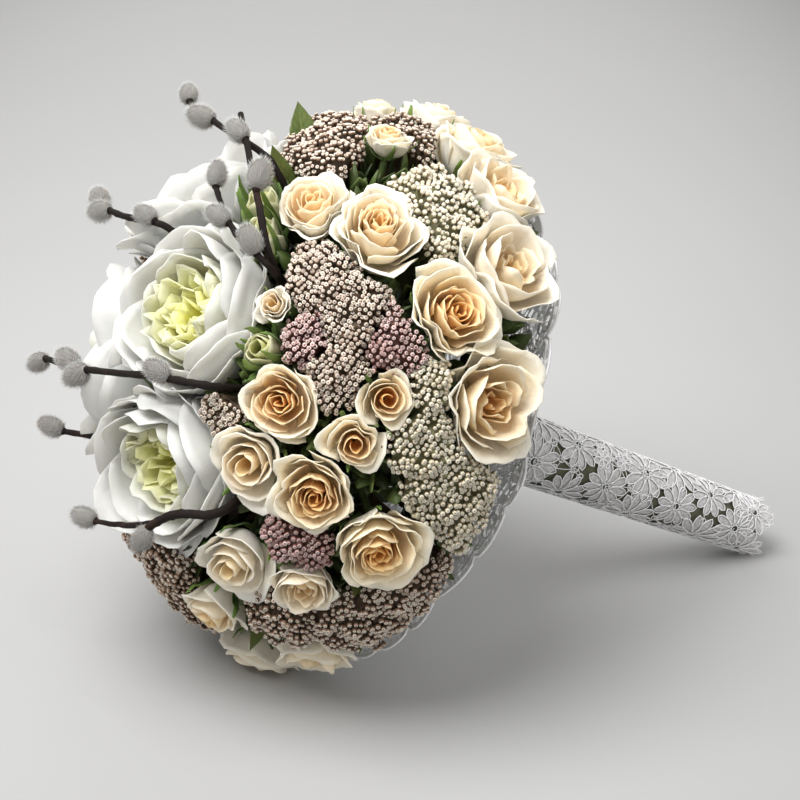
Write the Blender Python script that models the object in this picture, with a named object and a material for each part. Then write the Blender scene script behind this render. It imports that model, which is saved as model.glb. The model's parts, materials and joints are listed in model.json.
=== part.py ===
"""A hand-tied bridal bouquet, laid down on a table.

The flowers make a dome. Its middle is the point where all the flowers aim, and
its axis leans back, because the bouquet rests on its lowest roses and on the end
of its handle. The handle is a bundle of stems in green tape and a lace sleeve, and
a lace collar stands out behind the flowers.

Every flower, head of buds and willow twig has its own cone of room, which spreads
from the middle of the dome, so that neighbours press against each other and never
cross. Places in the plan are given as a florist would: around the axis, from the
top and on past the far side, and tilted away from the crown, both in degrees.
"""

import math

import bmesh
import bpy
import numpy as np
from mathutils import Matrix, Vector
from mathutils.geometry import delaunay_2d_cdt

MM = 0.001
GAP = 0.3 * MM
TABLE_CLEAR = 0.8 * MM

# The dome of flowers
DOME_RADIUS = 140 * MM
DOME_DEPTH = 115 * MM
DOME_PRESS = 2 * MM
LAST_TILT = 100.0
ROOM_MARGIN = math.radians(0.26)

# The handle, measured along the axis from the middle of the dome
TIE_START = 57 * MM
TIE_LENGTH = 9 * MM
SLEEVE_START = 56 * MM
HANDLE_END = 262 * MM
HANDLE_RADIUS = 19.0 * MM
HANDLE_END_RADIUS = 15.5 * MM
SLEEVE_WALL = 1.5 * MM
WRAP_WALL = 0.9 * MM
WRAP_SHORT = 3 * MM
LACE_END_WAVE = 2 * MM
HANDLE_SIDES = 20
TIE_RIBS = 5
TIE_WALL = 1.0 * MM
TIE_VALLEY = 0.6 * MM
CUT_RANGE = 2 * MM
SEAT_PRESS = 0.4 * MM

# The lace collar behind the flowers
COLLAR_RADIUS = 128 * MM
COLLAR_RIM_BACK = 33 * MM
COLLAR_NECK_BACK = 61 * MM
COLLAR_WALL = 1.2 * MM
COLLAR_SCALLOPS = 28
COLLAR_SCALLOP = 5 * MM
COLLAR_WAVES = 7
COLLAR_WAVE = 2.5 * MM

# Where flowers end and stems begin, from the middle of the dome
HUB_RADIUS = 58 * MM
HEAD_FOOT = 66 * MM
TWIG_FOOT = 68 * MM
STEM_RADIUS = 1.6 * MM

# The crossing where the flower stems gather, and the bundle of stems behind it, as
# distances behind the middle
CROSSING_STATIONS = (36 * MM, 42 * MM)
BUNDLE_STATIONS = (CROSSING_STATIONS[1] + GAP, TIE_START, HANDLE_END - 2 * MM)
BUNDLE_FLARE = 0.42
OUTER_STEMS = 12
STEM_VALLEY = 1.6 * MM
STEM_SPREAD = 16.5 * MM
STEM_SWELL = 1.2

# Beads of the rice flower, larger than life
BEAD_PITCH = 8.6 * MM
BEAD_RISE = 3.4 * MM
BEADS_ACROSS = 2.6
RIM_PITCH = 1.15
TIP_INSIDE = 0.36
DIP_INSIDE = 0.25
HEAD_SIDES = 14
HEAD_EDGE_DROP = 7 * MM
HEAD_CROWN = 3 * MM
HEAD_SPREAD = 17.0
HEAD_JOIN = math.radians(1.3)

# Twigs and catkins of the pussy willow
TWIG_RADIUS = 1.7 * MM
BRANCH_RADIUS = 1.6 * MM
TWIG_TAPER = 0.35
TWIG_OUT = 4 * MM
BRANCH_ROOT = 10 * MM
CATKIN_LENGTH = 13 * MM
CATKIN_WIDTH = 9.5 * MM
CATKIN_ROOT = 1.2 * MM
CATKIN_LEAN = 0.55
CATKIN_RISE = 0.6
CATKIN_PROFILE = ((0.12, 0.30), (0.42, 0.5), (0.78, 0.36))
LAST_CATKIN = 0.97

# Plan of the peonies: around, tilt, width in mm, standing proud in mm
PEONIES = {
    "peony_1": (34, 39, 84, 4),
    "peony_2": (316, 16, 92, 4),
    "peony_3": (226, 32, 84, 3),
    "peony_4": (125, 34, 88, 3),
}

# Plan of the roses, in the same four numbers
ROSES = {
    "rose_01": (334, 49, 33, 0),
    "rose_02": (323, 65, 42, 2),
    "rose_03": (305, 80, 41, 2),
    "rose_04": (317, 93, 46, 4),
    "rose_05": (289, 91, 45, 2),
    "rose_06": (286, 72, 26, -2),
    "rose_07": (275, 47, 34, 1),
    "rose_08": (252, 49, 36, 1),
    "rose_09": (258, 63, 36, 1),
    "rose_10": (271, 68, 27, 0),
    "rose_11": (254, 80, 42, 3),
    "rose_12": (227, 58, 36, 1),
    "rose_13": (237, 77, 32, -2),
    "rose_14": (204, 72, 31, 0),
    "rose_15": (191, 93, 35, 5),
    "rose_16": (212, 95, 35, 1),
    "rose_17": (354, 92, 42, 4),
    "rose_18": (338, 95, 42, 4),
    "rose_19": (10, 84, 34, 7),
    "rose_20": (21, 71, 27, 4),
    "rose_21": (353, 71, 20, 1),
    "rose_22": (301, 44, 20, 2),
    "rose_23": (35, 92, 42, 2),
    "rose_24": (57, 72, 42, 2),
    "rose_25": (82, 92, 44, 2),
    "rose_26": (112, 74, 42, 2),
    "rose_27": (136, 92, 42, 2),
    "rose_28": (169, 93, 35, 5),
}
RESTING_ROSES = ("rose_15", "rose_28")
GUARD_ROWS = (2, 3)
GUARD_REACH = 1.3
PETAL_SIDE = -0.4
FULL_ROSE_WIDTH = 40

# Plan of the green buds
BUDS = {
    "bud_1": (288, 37, 21, 2),
    "bud_2": (349, 43, 19, 1),
    "bud_3": (331, 38, 18, 1),
}

# Plan of the rice flower: each spray's heads as around, tilt, half width in degrees
RICE_SPRAYS = {
    "rice_01": ((356, 59, 8), (12, 65, 5.5), (34, 70, 7)),
    "rice_02": ((4, 80, 6),),
    "rice_03": ((330, 79, 8),),
    "rice_04": ((312, 54, 7.5), (300, 60, 5.5), (283, 60, 6)),
    "rice_05": ((293, 48, 5),),
    "rice_06": ((296, 69, 5.5),),
    "rice_07": ((293, 80, 4), (275, 80, 6.5), (267, 91, 5)),
    "rice_08": ((266, 34, 4.5),),
    "rice_09": ((251, 94, 5.5), (231, 88, 6), (219, 73, 5)),
    "rice_10": ((246, 72, 5),),
    "rice_11": ((194, 60, 7), (186, 76, 6)),
    "rice_12": ((82, 58, 8), (86, 76, 7), (60, 91, 7), (109, 92, 8)),
    "rice_13": ((142, 64, 8), (154, 80, 7), (166, 61, 7)),
}

# Plan of the twigs: place of the foot, then branches as around, tilt and mm from
# the middle, with None where a branch leaves the dome over the foot, then catkins
# as the branch, the share along it and the side it is on
TWIGS = {
    "willow_1": {
        "foot": (352, 47),
        "branches": ((None, (13, 43, 142), (36, 47, 160)),),
        "catkins": ((0, 1.0, 1), (0, 0.62, -1)),
    },
    "willow_2": {
        "foot": (311, 42),
        "branches": (
            (None, (334, 41, 140), (5, 45, 150)),
            (None, (324, 35, 136), (350, 34, 140)),
        ),
        "catkins": ((0, 0.8, -1), (0, 0.42, 1), (1, 0.9, 1), (1, 0.5, -1), (1, 0.15, 1)),
    },
    "willow_3": {
        "foot": (16, 21),
        "branches": ((None, (50, 24, 134), (70, 34, 150)),),
        "catkins": ((0, 0.95, 1), (0, 0.78, -1), (0, 0.14, 1)),
    },
    "willow_4": {
        "foot": (272, 33),
        "branches": ((None, (258, 24, 132), (180, 14, 132), (132, 28, 149)),),
        "catkins": ((0, 0.96, -1), (0, 0.72, 1), (0, 0.64, -1), (0, 0.18, 1)),
    },
    "willow_5": {
        "foot": (196, 17),
        "branches": ((None, (182, 28, 131), (150, 39, 143)),),
        "catkins": ((0, 0.96, 1),),
    },
    "willow_6": {
        "foot": (240, 52),
        "branches": (
            (None, (233, 47, 138), (222, 46, 143)),
            ((231, 47, 138), (215, 45, 139), (194, 43, 143)),
        ),
        "catkins": ((0, 1.0, -1), (1, 0.97, 1)),
    },
}
THICK_TWIGS = {"willow_6": 2.6 * MM}

# Leaves that show between the flowers: around, tilt, width in mm, standing proud in mm
LEAVES = (
    (28, 61, 15, 8),
    (4, 48, 12, 4),
    (263, 73, 12, -4),
    (244, 84, 12, -4),
    (205, 83, 12, -2),
    (68, 86, 13, 2),
)
LEAF_LENGTH = 34 * MM
LEAF_WALL = 0.9 * MM
LEAF_TEETH = 3
LEAF_NOTCH = 0.86
LEAF_FULLEST = 0.8
LEAF_STALK = 8 * MM

# Half the room, in degrees, that a stem keeps for a twig or a leaf
TWIG_ROOM = 2.4
LEAF_ROOM = 3.0

# How easily each kind is nudged aside while the dome is filled
GIVE = {"peony": 0.25, "rose": 1.0, "bud": 1.0, "rice": 2.2, "twig": 0.15, "leaf": 1.4}
SETTLE_ROUNDS = 160
SETTLE_STEP = 0.35
SETTLE_PACKING = 0.95
PEONY_PACKING = 0.84

# Rows of a bloom from foot to heart: radius and height as shares of its width, how
# far the petals' middles swell outward and upward, and 1 where a row's petals sit
# between those of the row before
FULL_ROSE_ROWS = (
    (0.08, -0.78, 0.00, 0.00, 0),
    (0.14, -0.66, 0.00, 0.00, 0),
    (0.38, -0.42, 0.03, 0.00, 0),
    (0.49, -0.17, 0.05, 0.03, 0),
    (0.39, -0.21, 0.02, 0.00, 0),
    (0.40, -0.06, 0.04, 0.03, 1),
    (0.31, -0.13, 0.02, 0.00, 1),
    (0.28, 0.00, 0.03, 0.02, 0),
    (0.19, -0.09, 0.01, 0.00, 0),
    (0.16, -0.01, 0.02, 0.02, 1),
    (0.08, -0.07, 0.01, 0.00, 1),
)
FULL_ROSE_HEART = -0.02
SPRAY_ROSE_ROWS = (
    (0.09, -0.84, 0.00, 0.00, 0),
    (0.16, -0.70, 0.00, 0.00, 0),
    (0.39, -0.46, 0.03, 0.00, 0),
    (0.49, -0.19, 0.05, 0.04, 0),
    (0.37, -0.23, 0.02, 0.00, 0),
    (0.36, -0.03, 0.04, 0.03, 1),
    (0.25, -0.12, 0.02, 0.00, 1),
    (0.19, 0.00, 0.02, 0.02, 0),
    (0.09, -0.08, 0.01, 0.00, 0),
)
SPRAY_ROSE_HEART = -0.01
PEONY_ROWS = (
    (0.05, -0.66, 0.00, 0.00, 0),
    (0.14, -0.58, 0.00, 0.00, 0),
    (0.38, -0.42, 0.03, 0.00, 0),
    (0.49, -0.18, 0.05, 0.05, 0),
    (0.42, -0.22, 0.02, 0.00, 0),
    (0.43, -0.04, 0.05, 0.05, 1),
    (0.34, -0.15, 0.02, 0.00, 1),
    (0.31, -0.02, 0.04, 0.04, 0),
    (0.23, -0.14, 0.01, 0.00, 0),
    (0.19, -0.06, 0.03, 0.03, 1),
    (0.12, -0.13, 0.01, 0.00, 1),
    (0.08, -0.06, 0.02, 0.02, 0),
)
PEONY_HEART = -0.12
BUD_ROWS = (
    (0.10, -1.50, 0.00, 0.00, 0),
    (0.24, -1.28, 0.00, 0.00, 0),
    (0.30, -1.02, 0.00, 0.00, 0),
    (0.42, -0.72, 0.10, 0.16, 0),
    (0.34, -0.74, 0.02, 0.00, 0),
    (0.44, -0.40, 0.03, 0.00, 1),
    (0.28, -0.05, 0.04, 0.03, 1),
    (0.16, -0.12, 0.02, 0.00, 0),
)
BUD_TIP = 0.0


def rest_lean(middle_height):
    """The lean at which the handle's end is pressed a little onto the table."""
    low, high = 0.0, math.radians(60)
    for _ in range(60):
        lean = (low + high) / 2
        drop = HANDLE_END * math.sin(lean) + HANDLE_END_RADIUS * math.cos(lean) - SEAT_PRESS
        if drop < middle_height:
            low = lean
        else:
            high = lean
    return lean


def lowest_flower(lean):
    """How far the dome reaches below its middle at this lean."""
    tilts = [math.radians(t) for t in range(0, int(LAST_TILT) + 1)]
    return max(
        DOME_RADIUS * math.sin(t) * math.cos(lean) - DOME_DEPTH * math.cos(t) * math.sin(lean)
        for t in tilts
    )


def settle_on_table():
    """Middle height and lean that agree with each other."""
    lean = math.radians(26)
    for _ in range(30):
        height = lowest_flower(lean) - DOME_PRESS
        lean = rest_lean(height)
    return height, lean


MIDDLE_HEIGHT, LEAN = settle_on_table()
MIDDLE = np.array((0.0, 0.0, MIDDLE_HEIGHT))
CROWN = np.array((-math.cos(LEAN), 0.0, math.sin(LEAN)))
TOP = np.array((math.sin(LEAN), 0.0, math.cos(LEAN)))
FAR = np.array((0.0, 1.0, 0.0))


def unit(vector):
    return vector / np.linalg.norm(vector)


def ring_way(around):
    """Straight out from the axis, at this many degrees around it."""
    turn = math.radians(around)
    return math.cos(turn) * TOP + math.sin(turn) * FAR


def way(around, tilt):
    """Direction from the middle of the dome."""
    lean_out = math.radians(tilt)
    return math.cos(lean_out) * CROWN + math.sin(lean_out) * ring_way(around)


def on_axis(back):
    """Point of the axis, this far behind the middle."""
    return MIDDLE - CROWN * back


def dome_reach(direction):
    """How far the dome's surface is from its middle."""
    along = max(float(direction @ CROWN), 0.0)
    across = math.sqrt(max(1.0 - along * along, 0.0))
    return 1.0 / math.hypot(along / DOME_DEPTH, across / DOME_RADIUS)


def side_axes(direction):
    """Two directions at right angles to this one."""
    first = unit(np.cross(direction, FAR + 0.01 * TOP))
    return first, np.cross(direction, first)


def off_table(point, clear):
    """Draws a point that is under the table back along its way from the middle."""
    if point[2] >= clear:
        return point
    share = (MIDDLE_HEIGHT - clear) / (MIDDLE_HEIGHT - point[2])
    return MIDDLE + (point - MIDDLE) * share


def finish(maker, name, colour, roughness):
    """An object named after its part, with a material of its own."""
    mesh = bpy.data.meshes.new(name)
    maker.to_mesh(mesh)
    maker.free()
    material = bpy.data.materials.new(name)
    material.use_nodes = True
    shader = material.node_tree.nodes["Principled BSDF"]
    shader.inputs["Base Color"].default_value = (*colour, 1.0)
    shader.inputs["Roughness"].default_value = roughness
    shader.inputs["Metallic"].default_value = 0.0
    mesh.materials.append(material)
    piece = bpy.data.objects.new(name, mesh)
    bpy.context.scene.collection.objects.link(piece)
    return piece


def add_skin(maker, rings, first, last):
    """A closed skin through rings of points, from one end point to the other."""
    start = maker.verts.new(first)
    loops = [[maker.verts.new(point) for point in ring] for ring in rings]
    end = maker.verts.new(last)
    count = len(loops[0])
    for i in range(count):
        j = (i + 1) % count
        maker.faces.new((start, loops[0][j], loops[0][i]))
        for low, high in zip(loops, loops[1:]):
            maker.faces.new((low[i], low[j], high[j]))
            maker.faces.new((low[i], high[j], high[i]))
        maker.faces.new((loops[-1][i], loops[-1][j], end))
    bmesh.ops.recalc_face_normals(maker, faces=maker.faces)


def add_tube(maker, points, radii, sides):
    """A closed tube along points, with flat ends."""
    ways = [unit(b - a) for a, b in zip(points, points[1:])]
    ways = [ways[0]] + [unit(a + b) for a, b in zip(ways, ways[1:])] + [ways[-1]]
    across = side_axes(ways[0])[0]
    rings = []
    for point, along, radius in zip(points, ways, radii):
        across = unit(across - along * float(across @ along))
        other = np.cross(along, across)
        turns = [2 * math.pi * i / sides for i in range(sides)]
        rings.append([point + radius * (math.cos(t) * across + math.sin(t) * other) for t in turns])
    add_skin(maker, rings, points[0], points[-1])


def fuse(pieces, solver="MANIFOLD"):
    """Joins closed pieces into the first one and removes the others."""
    whole = pieces[0]
    if len(pieces) == 1:
        return whole
    group = bpy.data.collections.new("to_fuse")
    bpy.context.scene.collection.children.link(group)
    for piece in pieces[1:]:
        group.objects.link(piece)
    joint = whole.modifiers.new("union", "BOOLEAN")
    joint.operation = "UNION"
    joint.solver = solver
    joint.operand_type = "COLLECTION"
    joint.collection = group
    bpy.context.view_layer.objects.active = whole
    bpy.ops.object.modifier_apply(modifier=joint.name)
    for piece in list(group.objects):
        bpy.data.objects.remove(piece)
    bpy.data.collections.remove(group)
    return whole


class Place:
    """One flower, head, twig or leaf, and the cone of room that it has."""

    def __init__(self, name, kind, around, tilt, half_width):
        self.name = name
        self.kind = kind
        self.direction = way(around, tilt)
        self.half_width = half_width
        self.held = name in RESTING_ROSES
        self.walls = []


def flower_half_width(around, tilt, width, depth_share):
    """Angle from a flower's axis to its widest petals, seen from the middle."""
    widest = dome_reach(way(around, tilt)) - width * MM * depth_share
    return math.atan(width * MM / 2 / widest)


def list_places():
    places = []
    for name, (around, tilt, width, _) in PEONIES.items():
        places.append(Place(name, "peony", around, tilt, flower_half_width(around, tilt, width, 0.12)))
    for name, (around, tilt, width, _) in ROSES.items():
        places.append(Place(name, "rose", around, tilt, flower_half_width(around, tilt, width, 0.18)))
    for name, (around, tilt, width, _) in BUDS.items():
        places.append(Place(name, "bud", around, tilt, flower_half_width(around, tilt, width, 0.4)))
    for name, heads in RICE_SPRAYS.items():
        for around, tilt, half_width in heads:
            places.append(Place(name, "rice", around, tilt, math.radians(half_width)))
    for name, twig in TWIGS.items():
        places.append(Place(name, "twig", *twig["foot"], math.radians(TWIG_ROOM)))
    for number, (around, tilt, _, _) in enumerate(LEAVES):
        places.append(Place(f"leaf_{number}", "leaf", around, tilt, math.radians(LEAF_ROOM)))
    return places


def wanted_distance(one, other):
    """Angle that two neighbours would like to keep."""
    kinds = {one.kind, other.kind}
    both = one.half_width + other.half_width
    if kinds == {"peony"}:
        return both * PEONY_PACKING
    if kinds & {"twig", "leaf"}:
        return both * 1.02
    return both * SETTLE_PACKING


def settle(places):
    """Neighbours nudge each other aside until the dome is evenly filled."""
    last = math.radians(LAST_TILT)
    for _ in range(SETTLE_ROUNDS):
        moves = [np.zeros(3) for _ in places]
        for i, one in enumerate(places):
            for j in range(i + 1, len(places)):
                other = places[j]
                apart = math.acos(max(-1.0, min(1.0, float(one.direction @ other.direction))))
                short = wanted_distance(one, other) - apart
                if short <= 0:
                    continue
                push = one.direction - other.direction
                push = unit(push) * short * SETTLE_STEP
                shares = (0.0 if one.held else GIVE[one.kind], 0.0 if other.held else GIVE[other.kind])
                if sum(shares) == 0:
                    continue
                moves[i] += push * shares[0] / sum(shares)
                moves[j] -= push * shares[1] / sum(shares)
        for i, one in enumerate(places[:-1]):
            other = places[i + 1]
            if one.kind == "rice" and one.name == other.name:
                apart = math.acos(float(one.direction @ other.direction))
                loose = apart - wanted_distance(one, other)
                if loose > 0:
                    pull = unit(other.direction - one.direction) * loose * SETTLE_STEP / 2
                    moves[i] += pull
                    moves[i + 1] -= pull
        for place, move in zip(places, moves):
            tilt = math.acos(float(place.direction @ CROWN))
            over = tilt + 0.85 * place.half_width - last
            if over > 0 and not place.held:
                move = move + CROWN * over * SETTLE_STEP
            place.direction = unit(place.direction + move)


def raise_walls(places):
    """The planes through the middle that part each place from the others."""
    for one in places:
        one.walls = []
        for other in places:
            if other is one:
                continue
            wall = one.direction / math.cos(one.half_width) - other.direction / math.cos(other.half_width)
            joined = one.kind == "rice" and other.name == one.name
            margin = -HEAD_JOIN if joined else ROOM_MARGIN
            one.walls.append((unit(wall), margin))
        out = unit(one.direction - CROWN * float(one.direction @ CROWN))
        last = math.radians(LAST_TILT)
        one.walls.append((math.sin(last) * CROWN - math.cos(last) * out, ROOM_MARGIN))


def room_share(place, point, step):
    """Share of a step from a point that stays inside the place's room."""
    share = 1.0
    start = point - MIDDLE
    far = np.linalg.norm(start + step)
    for wall, margin in place.walls:
        at_start = float(wall @ start) - math.sin(margin) * far
        change = float(wall @ step)
        if change < 0 and at_start + change < 0:
            share = min(share, max(at_start / -change, 0.0))
    return share


def flower(place, width, proud, rows, heart, petals, colour, clear):
    """Petals in layers, pressed against the neighbours where they meet."""
    axis = place.direction
    top = dome_reach(axis) + proud * MM
    first, second = side_axes(axis)
    size = width * MM
    columns = petals * 2
    turns = [2 * math.pi * i / columns for i in range(columns)]
    ways = [math.cos(t) * first + math.sin(t) * second for t in turns]
    shares = [GUARD_REACH] * columns
    for i, out in enumerate(ways):
        for radius, height, swell, lift, _ in rows:
            step = out * (radius + swell) * size * GUARD_REACH
            for rise in (height, height + lift):
                point = MIDDLE + axis * (top + rise * size)
                shares[i] = min(shares[i], room_share(place, point, step) * GUARD_REACH)
    rings = []
    for number, (radius, height, swell, lift, shift) in enumerate(rows):
        ring = []
        for i, out in enumerate(ways):
            middle = 1.0 if (i + shift) % 2 == 0 else PETAL_SIDE
            share = shares[i] if number in GUARD_ROWS else min(shares[i], 1.0)
            reach = (radius + swell * middle) * size * share
            point = MIDDLE + axis * (top + (height + lift * middle) * size) + out * reach
            ring.append(off_table(point, clear))
        rings.append(ring)
    maker = bmesh.new()
    foot = MIDDLE + axis * (top + (rows[0][1] - 0.03) * size)
    centre = off_table(MIDDLE + axis * (top + heart * size), clear)
    add_skin(maker, rings, off_table(foot, clear), centre)
    finish(maker, place.name, colour, 0.6)
    return top + (rows[0][1] - 0.03) * size


def clip_outline(outline, wall, margin, axis, first, second):
    """The part of a flat outline that lies on the inner side of a wall."""
    kept = []
    values = []
    for x, y in outline:
        ray = axis + x * first + y * second
        values.append(float(wall @ ray) - math.sin(margin) * np.linalg.norm(ray))
    for i, point in enumerate(outline):
        j = (i + 1) % len(outline)
        if values[i] >= 0:
            kept.append(point)
        if (values[i] >= 0) != (values[j] >= 0):
            share = values[i] / (values[i] - values[j])
            kept.append(point + (outline[j] - point) * share)
    return kept


def edge_distance(point, outline):
    """Distance from a point inside an outline to its nearest edge, below 0 outside."""
    nearest = math.inf
    for i, start in enumerate(outline):
        edge = outline[(i + 1) % len(outline)] - start
        length = np.linalg.norm(edge)
        if length > 0:
            offset = point - start
            nearest = min(nearest, float(edge[0] * offset[1] - edge[1] * offset[0]) / length)
    return nearest


def split_edges(outline, longest):
    """The outline with its long edges cut into even steps."""
    points = []
    for i, start in enumerate(outline):
        step = outline[(i + 1) % len(outline)] - start
        length = np.linalg.norm(step)
        if length < 0.15 * longest:
            continue
        count = max(1, round(length / longest))
        points += [start + step * k / count for k in range(count)]
    return points


def rice_head(place, colour, number):
    """One head of beads on a cone of stalks. Returns the piece and its foot."""
    axis = place.direction
    first, second = side_axes(axis)
    spread = math.tan(math.radians(HEAD_SPREAD))
    corners = [2 * math.pi * i / HEAD_SIDES for i in range(HEAD_SIDES)]
    outline = [np.array((spread * math.cos(t), spread * math.sin(t))) for t in corners]
    for wall, margin in place.walls:
        outline = clip_outline(outline, wall, margin, axis, first, second)
    middle = sum(outline) / len(outline)
    half = max(np.linalg.norm(point - middle) for point in outline)
    pitch = min(BEAD_PITCH / dome_reach(axis), half / BEADS_ACROSS)
    rim = split_edges(outline, RIM_PITCH * pitch)
    centre = sum(rim) / len(rim)
    extent = max(np.linalg.norm(point - centre) for point in rim)
    tips = []
    dips = []
    rows = int(extent / pitch) + 2
    for row in range(-rows, rows + 1):
        for column in range(-rows, rows + 1):
            x = (column + 0.5 * (row % 2)) * pitch
            y = row * pitch * math.sqrt(0.75)
            point = centre + np.array((x, y))
            if edge_distance(point, outline) > TIP_INSIDE * pitch:
                tips.append(point)
            for side in (-1, 1):
                dip = point + np.array((0.0, side * pitch / math.sqrt(3)))
                if edge_distance(dip, outline) > DIP_INSIDE * pitch:
                    dips.append(dip)
    points = rim + tips + dips
    order = list(range(len(rim)))
    flat = [Vector(point) for point in points]
    found, _, faces, sources, _, _ = delaunay_2d_cdt(flat, [], [order], 1, 1e-6)
    maker = bmesh.new()
    verts = []
    for spot, source in zip(found, sources):
        kind = min(source) if source else len(points)
        ray = unit(axis + spot.x * first + spot.y * second)
        off_middle = np.linalg.norm(np.array(spot) - centre) / extent
        height = dome_reach(ray) - HEAD_CROWN * off_middle**2
        if kind < len(rim):
            height -= HEAD_EDGE_DROP
        elif kind >= len(rim) + len(tips):
            height -= BEAD_RISE
        verts.append(maker.verts.new(off_table(MIDDLE + ray * height, TABLE_CLEAR)))
    foot = maker.verts.new(MIDDLE + axis * HEAD_FOOT)
    for face in faces:
        maker.faces.new([verts[i] for i in face])
    for edge in [e for e in maker.edges if e.is_boundary]:
        maker.faces.new((edge.verts[0], edge.verts[1], foot))
    bmesh.ops.recalc_face_normals(maker, faces=maker.faces)
    return finish(maker, f"{place.name}_head_{number}", colour, 0.8)


def rice_spray(name, places, colour):
    """The heads of one spray, joined where they meet."""
    heads = [rice_head(place, colour, i) for i, place in enumerate(places)]
    whole = fuse(heads)
    whole.name = name
    whole.data.name = name


def polar(around, tilt, distance):
    """Point at a place of the plan, this many mm from the middle."""
    return MIDDLE + way(around, tilt) * distance * MM


def smooth_route(points, steps):
    """Points of a smooth curve through the given ones."""
    ends = [2 * points[0] - points[1]] + list(points) + [2 * points[-1] - points[-2]]
    route = []
    for i in range(len(points) - 1):
        a, b, c, d = ends[i : i + 4]
        for k in range(steps):
            t = k / steps
            bend = 2 * b + (c - a) * t + (2 * a - 5 * b + 4 * c - d) * t * t
            route.append((bend + (3 * b - a - 3 * c + d) * t**3) / 2)
    return route + [points[-1]]


def along_route(route, share):
    """Point and direction at a share of a route's length."""
    lengths = [np.linalg.norm(b - a) for a, b in zip(route, route[1:])]
    left = share * sum(lengths)
    for a, b, length in zip(route, route[1:], lengths):
        if left <= length:
            return a + (b - a) * left / length, unit(b - a)
        left -= length
    return route[-1], unit(route[-1] - route[-2])


def add_catkin(maker, start, along, out):
    """An egg-shaped catkin that leans away from its twig."""
    axis = unit(along + CATKIN_LEAN * out)
    first, second = side_axes(axis)
    turns = [2 * math.pi * i / 5 for i in range(5)]
    rings = []
    for share, width in CATKIN_PROFILE:
        centre = start + axis * share * CATKIN_LENGTH
        radius = width * CATKIN_WIDTH
        rings.append([centre + radius * (math.cos(t) * first + math.sin(t) * second) for t in turns])
    add_skin(maker, rings, start, start + axis * CATKIN_LENGTH)


def willow(place, twig, colour):
    """A twig that leaves the dome between two flowers, with its catkins."""
    leaving = MIDDLE + place.direction * (dome_reach(place.direction) + TWIG_OUT)
    routes = []
    pieces = []
    for number, branch in enumerate(twig["branches"]):
        outside = [polar(*point) if point else leaving for point in branch]
        route = smooth_route(outside, 2)
        routes.append(route)
        points = list(route)
        size = BRANCH_RADIUS
        if number == 0:
            points.insert(0, MIDDLE + place.direction * TWIG_FOOT)
            size = THICK_TWIGS.get(place.name, TWIG_RADIUS)
        elif branch[0] is None:
            points[0] = leaving - place.direction * BRANCH_ROOT
        radii = [size * (1.0 - TWIG_TAPER * i / (len(points) - 1)) for i in range(len(points))]
        if number == 0:
            radii[0] = TWIG_RADIUS
        maker = bmesh.new()
        add_tube(maker, points, radii, 4)
        pieces.append(finish(maker, f"{place.name}_branch_{number}", colour, 0.6))
    for number, (branch, share, side) in enumerate(twig["catkins"]):
        point, along = along_route(routes[branch], min(share, LAST_CATKIN))
        outward = unit(point - MIDDLE)
        out = unit(np.cross(along, outward)) * side + CATKIN_RISE * outward
        maker = bmesh.new()
        add_catkin(maker, point - along * CATKIN_ROOT, along, unit(out))
        pieces.append(finish(maker, f"{place.name}_catkin_{number}", colour, 0.8))
    whole = fuse(pieces)
    whole.name = place.name
    whole.data.name = place.name


def handle_radius(back):
    """Outer radius of the lace at this distance behind the middle."""
    share = (back - SLEEVE_START) / (HANDLE_END - SLEEVE_START)
    return HANDLE_RADIUS + (HANDLE_END_RADIUS - HANDLE_RADIUS) * min(max(share, 0.0), 1.0)


def pipe(name, stations, wall, colour, roughness, end_wave=0.0):
    """A tapered tube with an open bore, through stations of (back, outer radius)."""
    outer = []
    inner = []
    for number, (back, radius) in enumerate(stations):
        last = number == len(stations) - 1
        outer_ring = []
        inner_ring = []
        for i in range(HANDLE_SIDES):
            out = ring_way(360.0 * i / HANDLE_SIDES)
            wave = end_wave if last and i % 2 else 0.0
            point = on_axis(back + wave)
            outer_ring.append(off_table(point + out * radius, 0.0))
            inner_ring.append(point + out * (radius - wall))
        outer.append(outer_ring)
        inner.append(inner_ring)
    close_bands(name, outer + inner[::-1], colour, roughness)


def close_bands(name, rings, colour, roughness):
    """A ring-shaped solid whose cross-section runs through all the rings."""
    maker = bmesh.new()
    loops = [[maker.verts.new(point) for point in ring] for ring in rings]
    count = len(loops[0])
    for low, high in zip(loops, loops[1:] + loops[:1]):
        for i in range(count):
            j = (i + 1) % count
            maker.faces.new((low[i], low[j], high[j]))
            maker.faces.new((low[i], high[j], high[i]))
    bmesh.ops.recalc_face_normals(maker, faces=maker.faces)
    finish(maker, name, colour, roughness)


def stem_radius(back):
    """Radius left for the stems inside tape and lace."""
    return handle_radius(back) - SLEEVE_WALL - WRAP_WALL - 2.4 * GAP


def stem_backs(name, stations):
    """Stems tight together, as one round solid with the stems' rounded backs."""
    rings = []
    for back in stations:
        ring = []
        reach = stem_radius(max(back, TIE_START))
        flare = max(TIE_START - back, 0.0) * BUNDLE_FLARE
        for i in range(2 * OUTER_STEMS):
            valley = STEM_VALLEY if i % 2 else 0.0
            cut = CUT_RANGE * (i % 4 == 1) if back == BUNDLE_STATIONS[-1] else 0.0
            out = ring_way(180.0 * i / OUTER_STEMS)
            ring.append(on_axis(back - cut) + out * (reach + flare - valley))
        rings.append(ring)
    maker = bmesh.new()
    add_skin(maker, rings, on_axis(stations[0]), on_axis(stations[-1]))
    return finish(maker, name, STEM_GREEN, 0.6)


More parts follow.
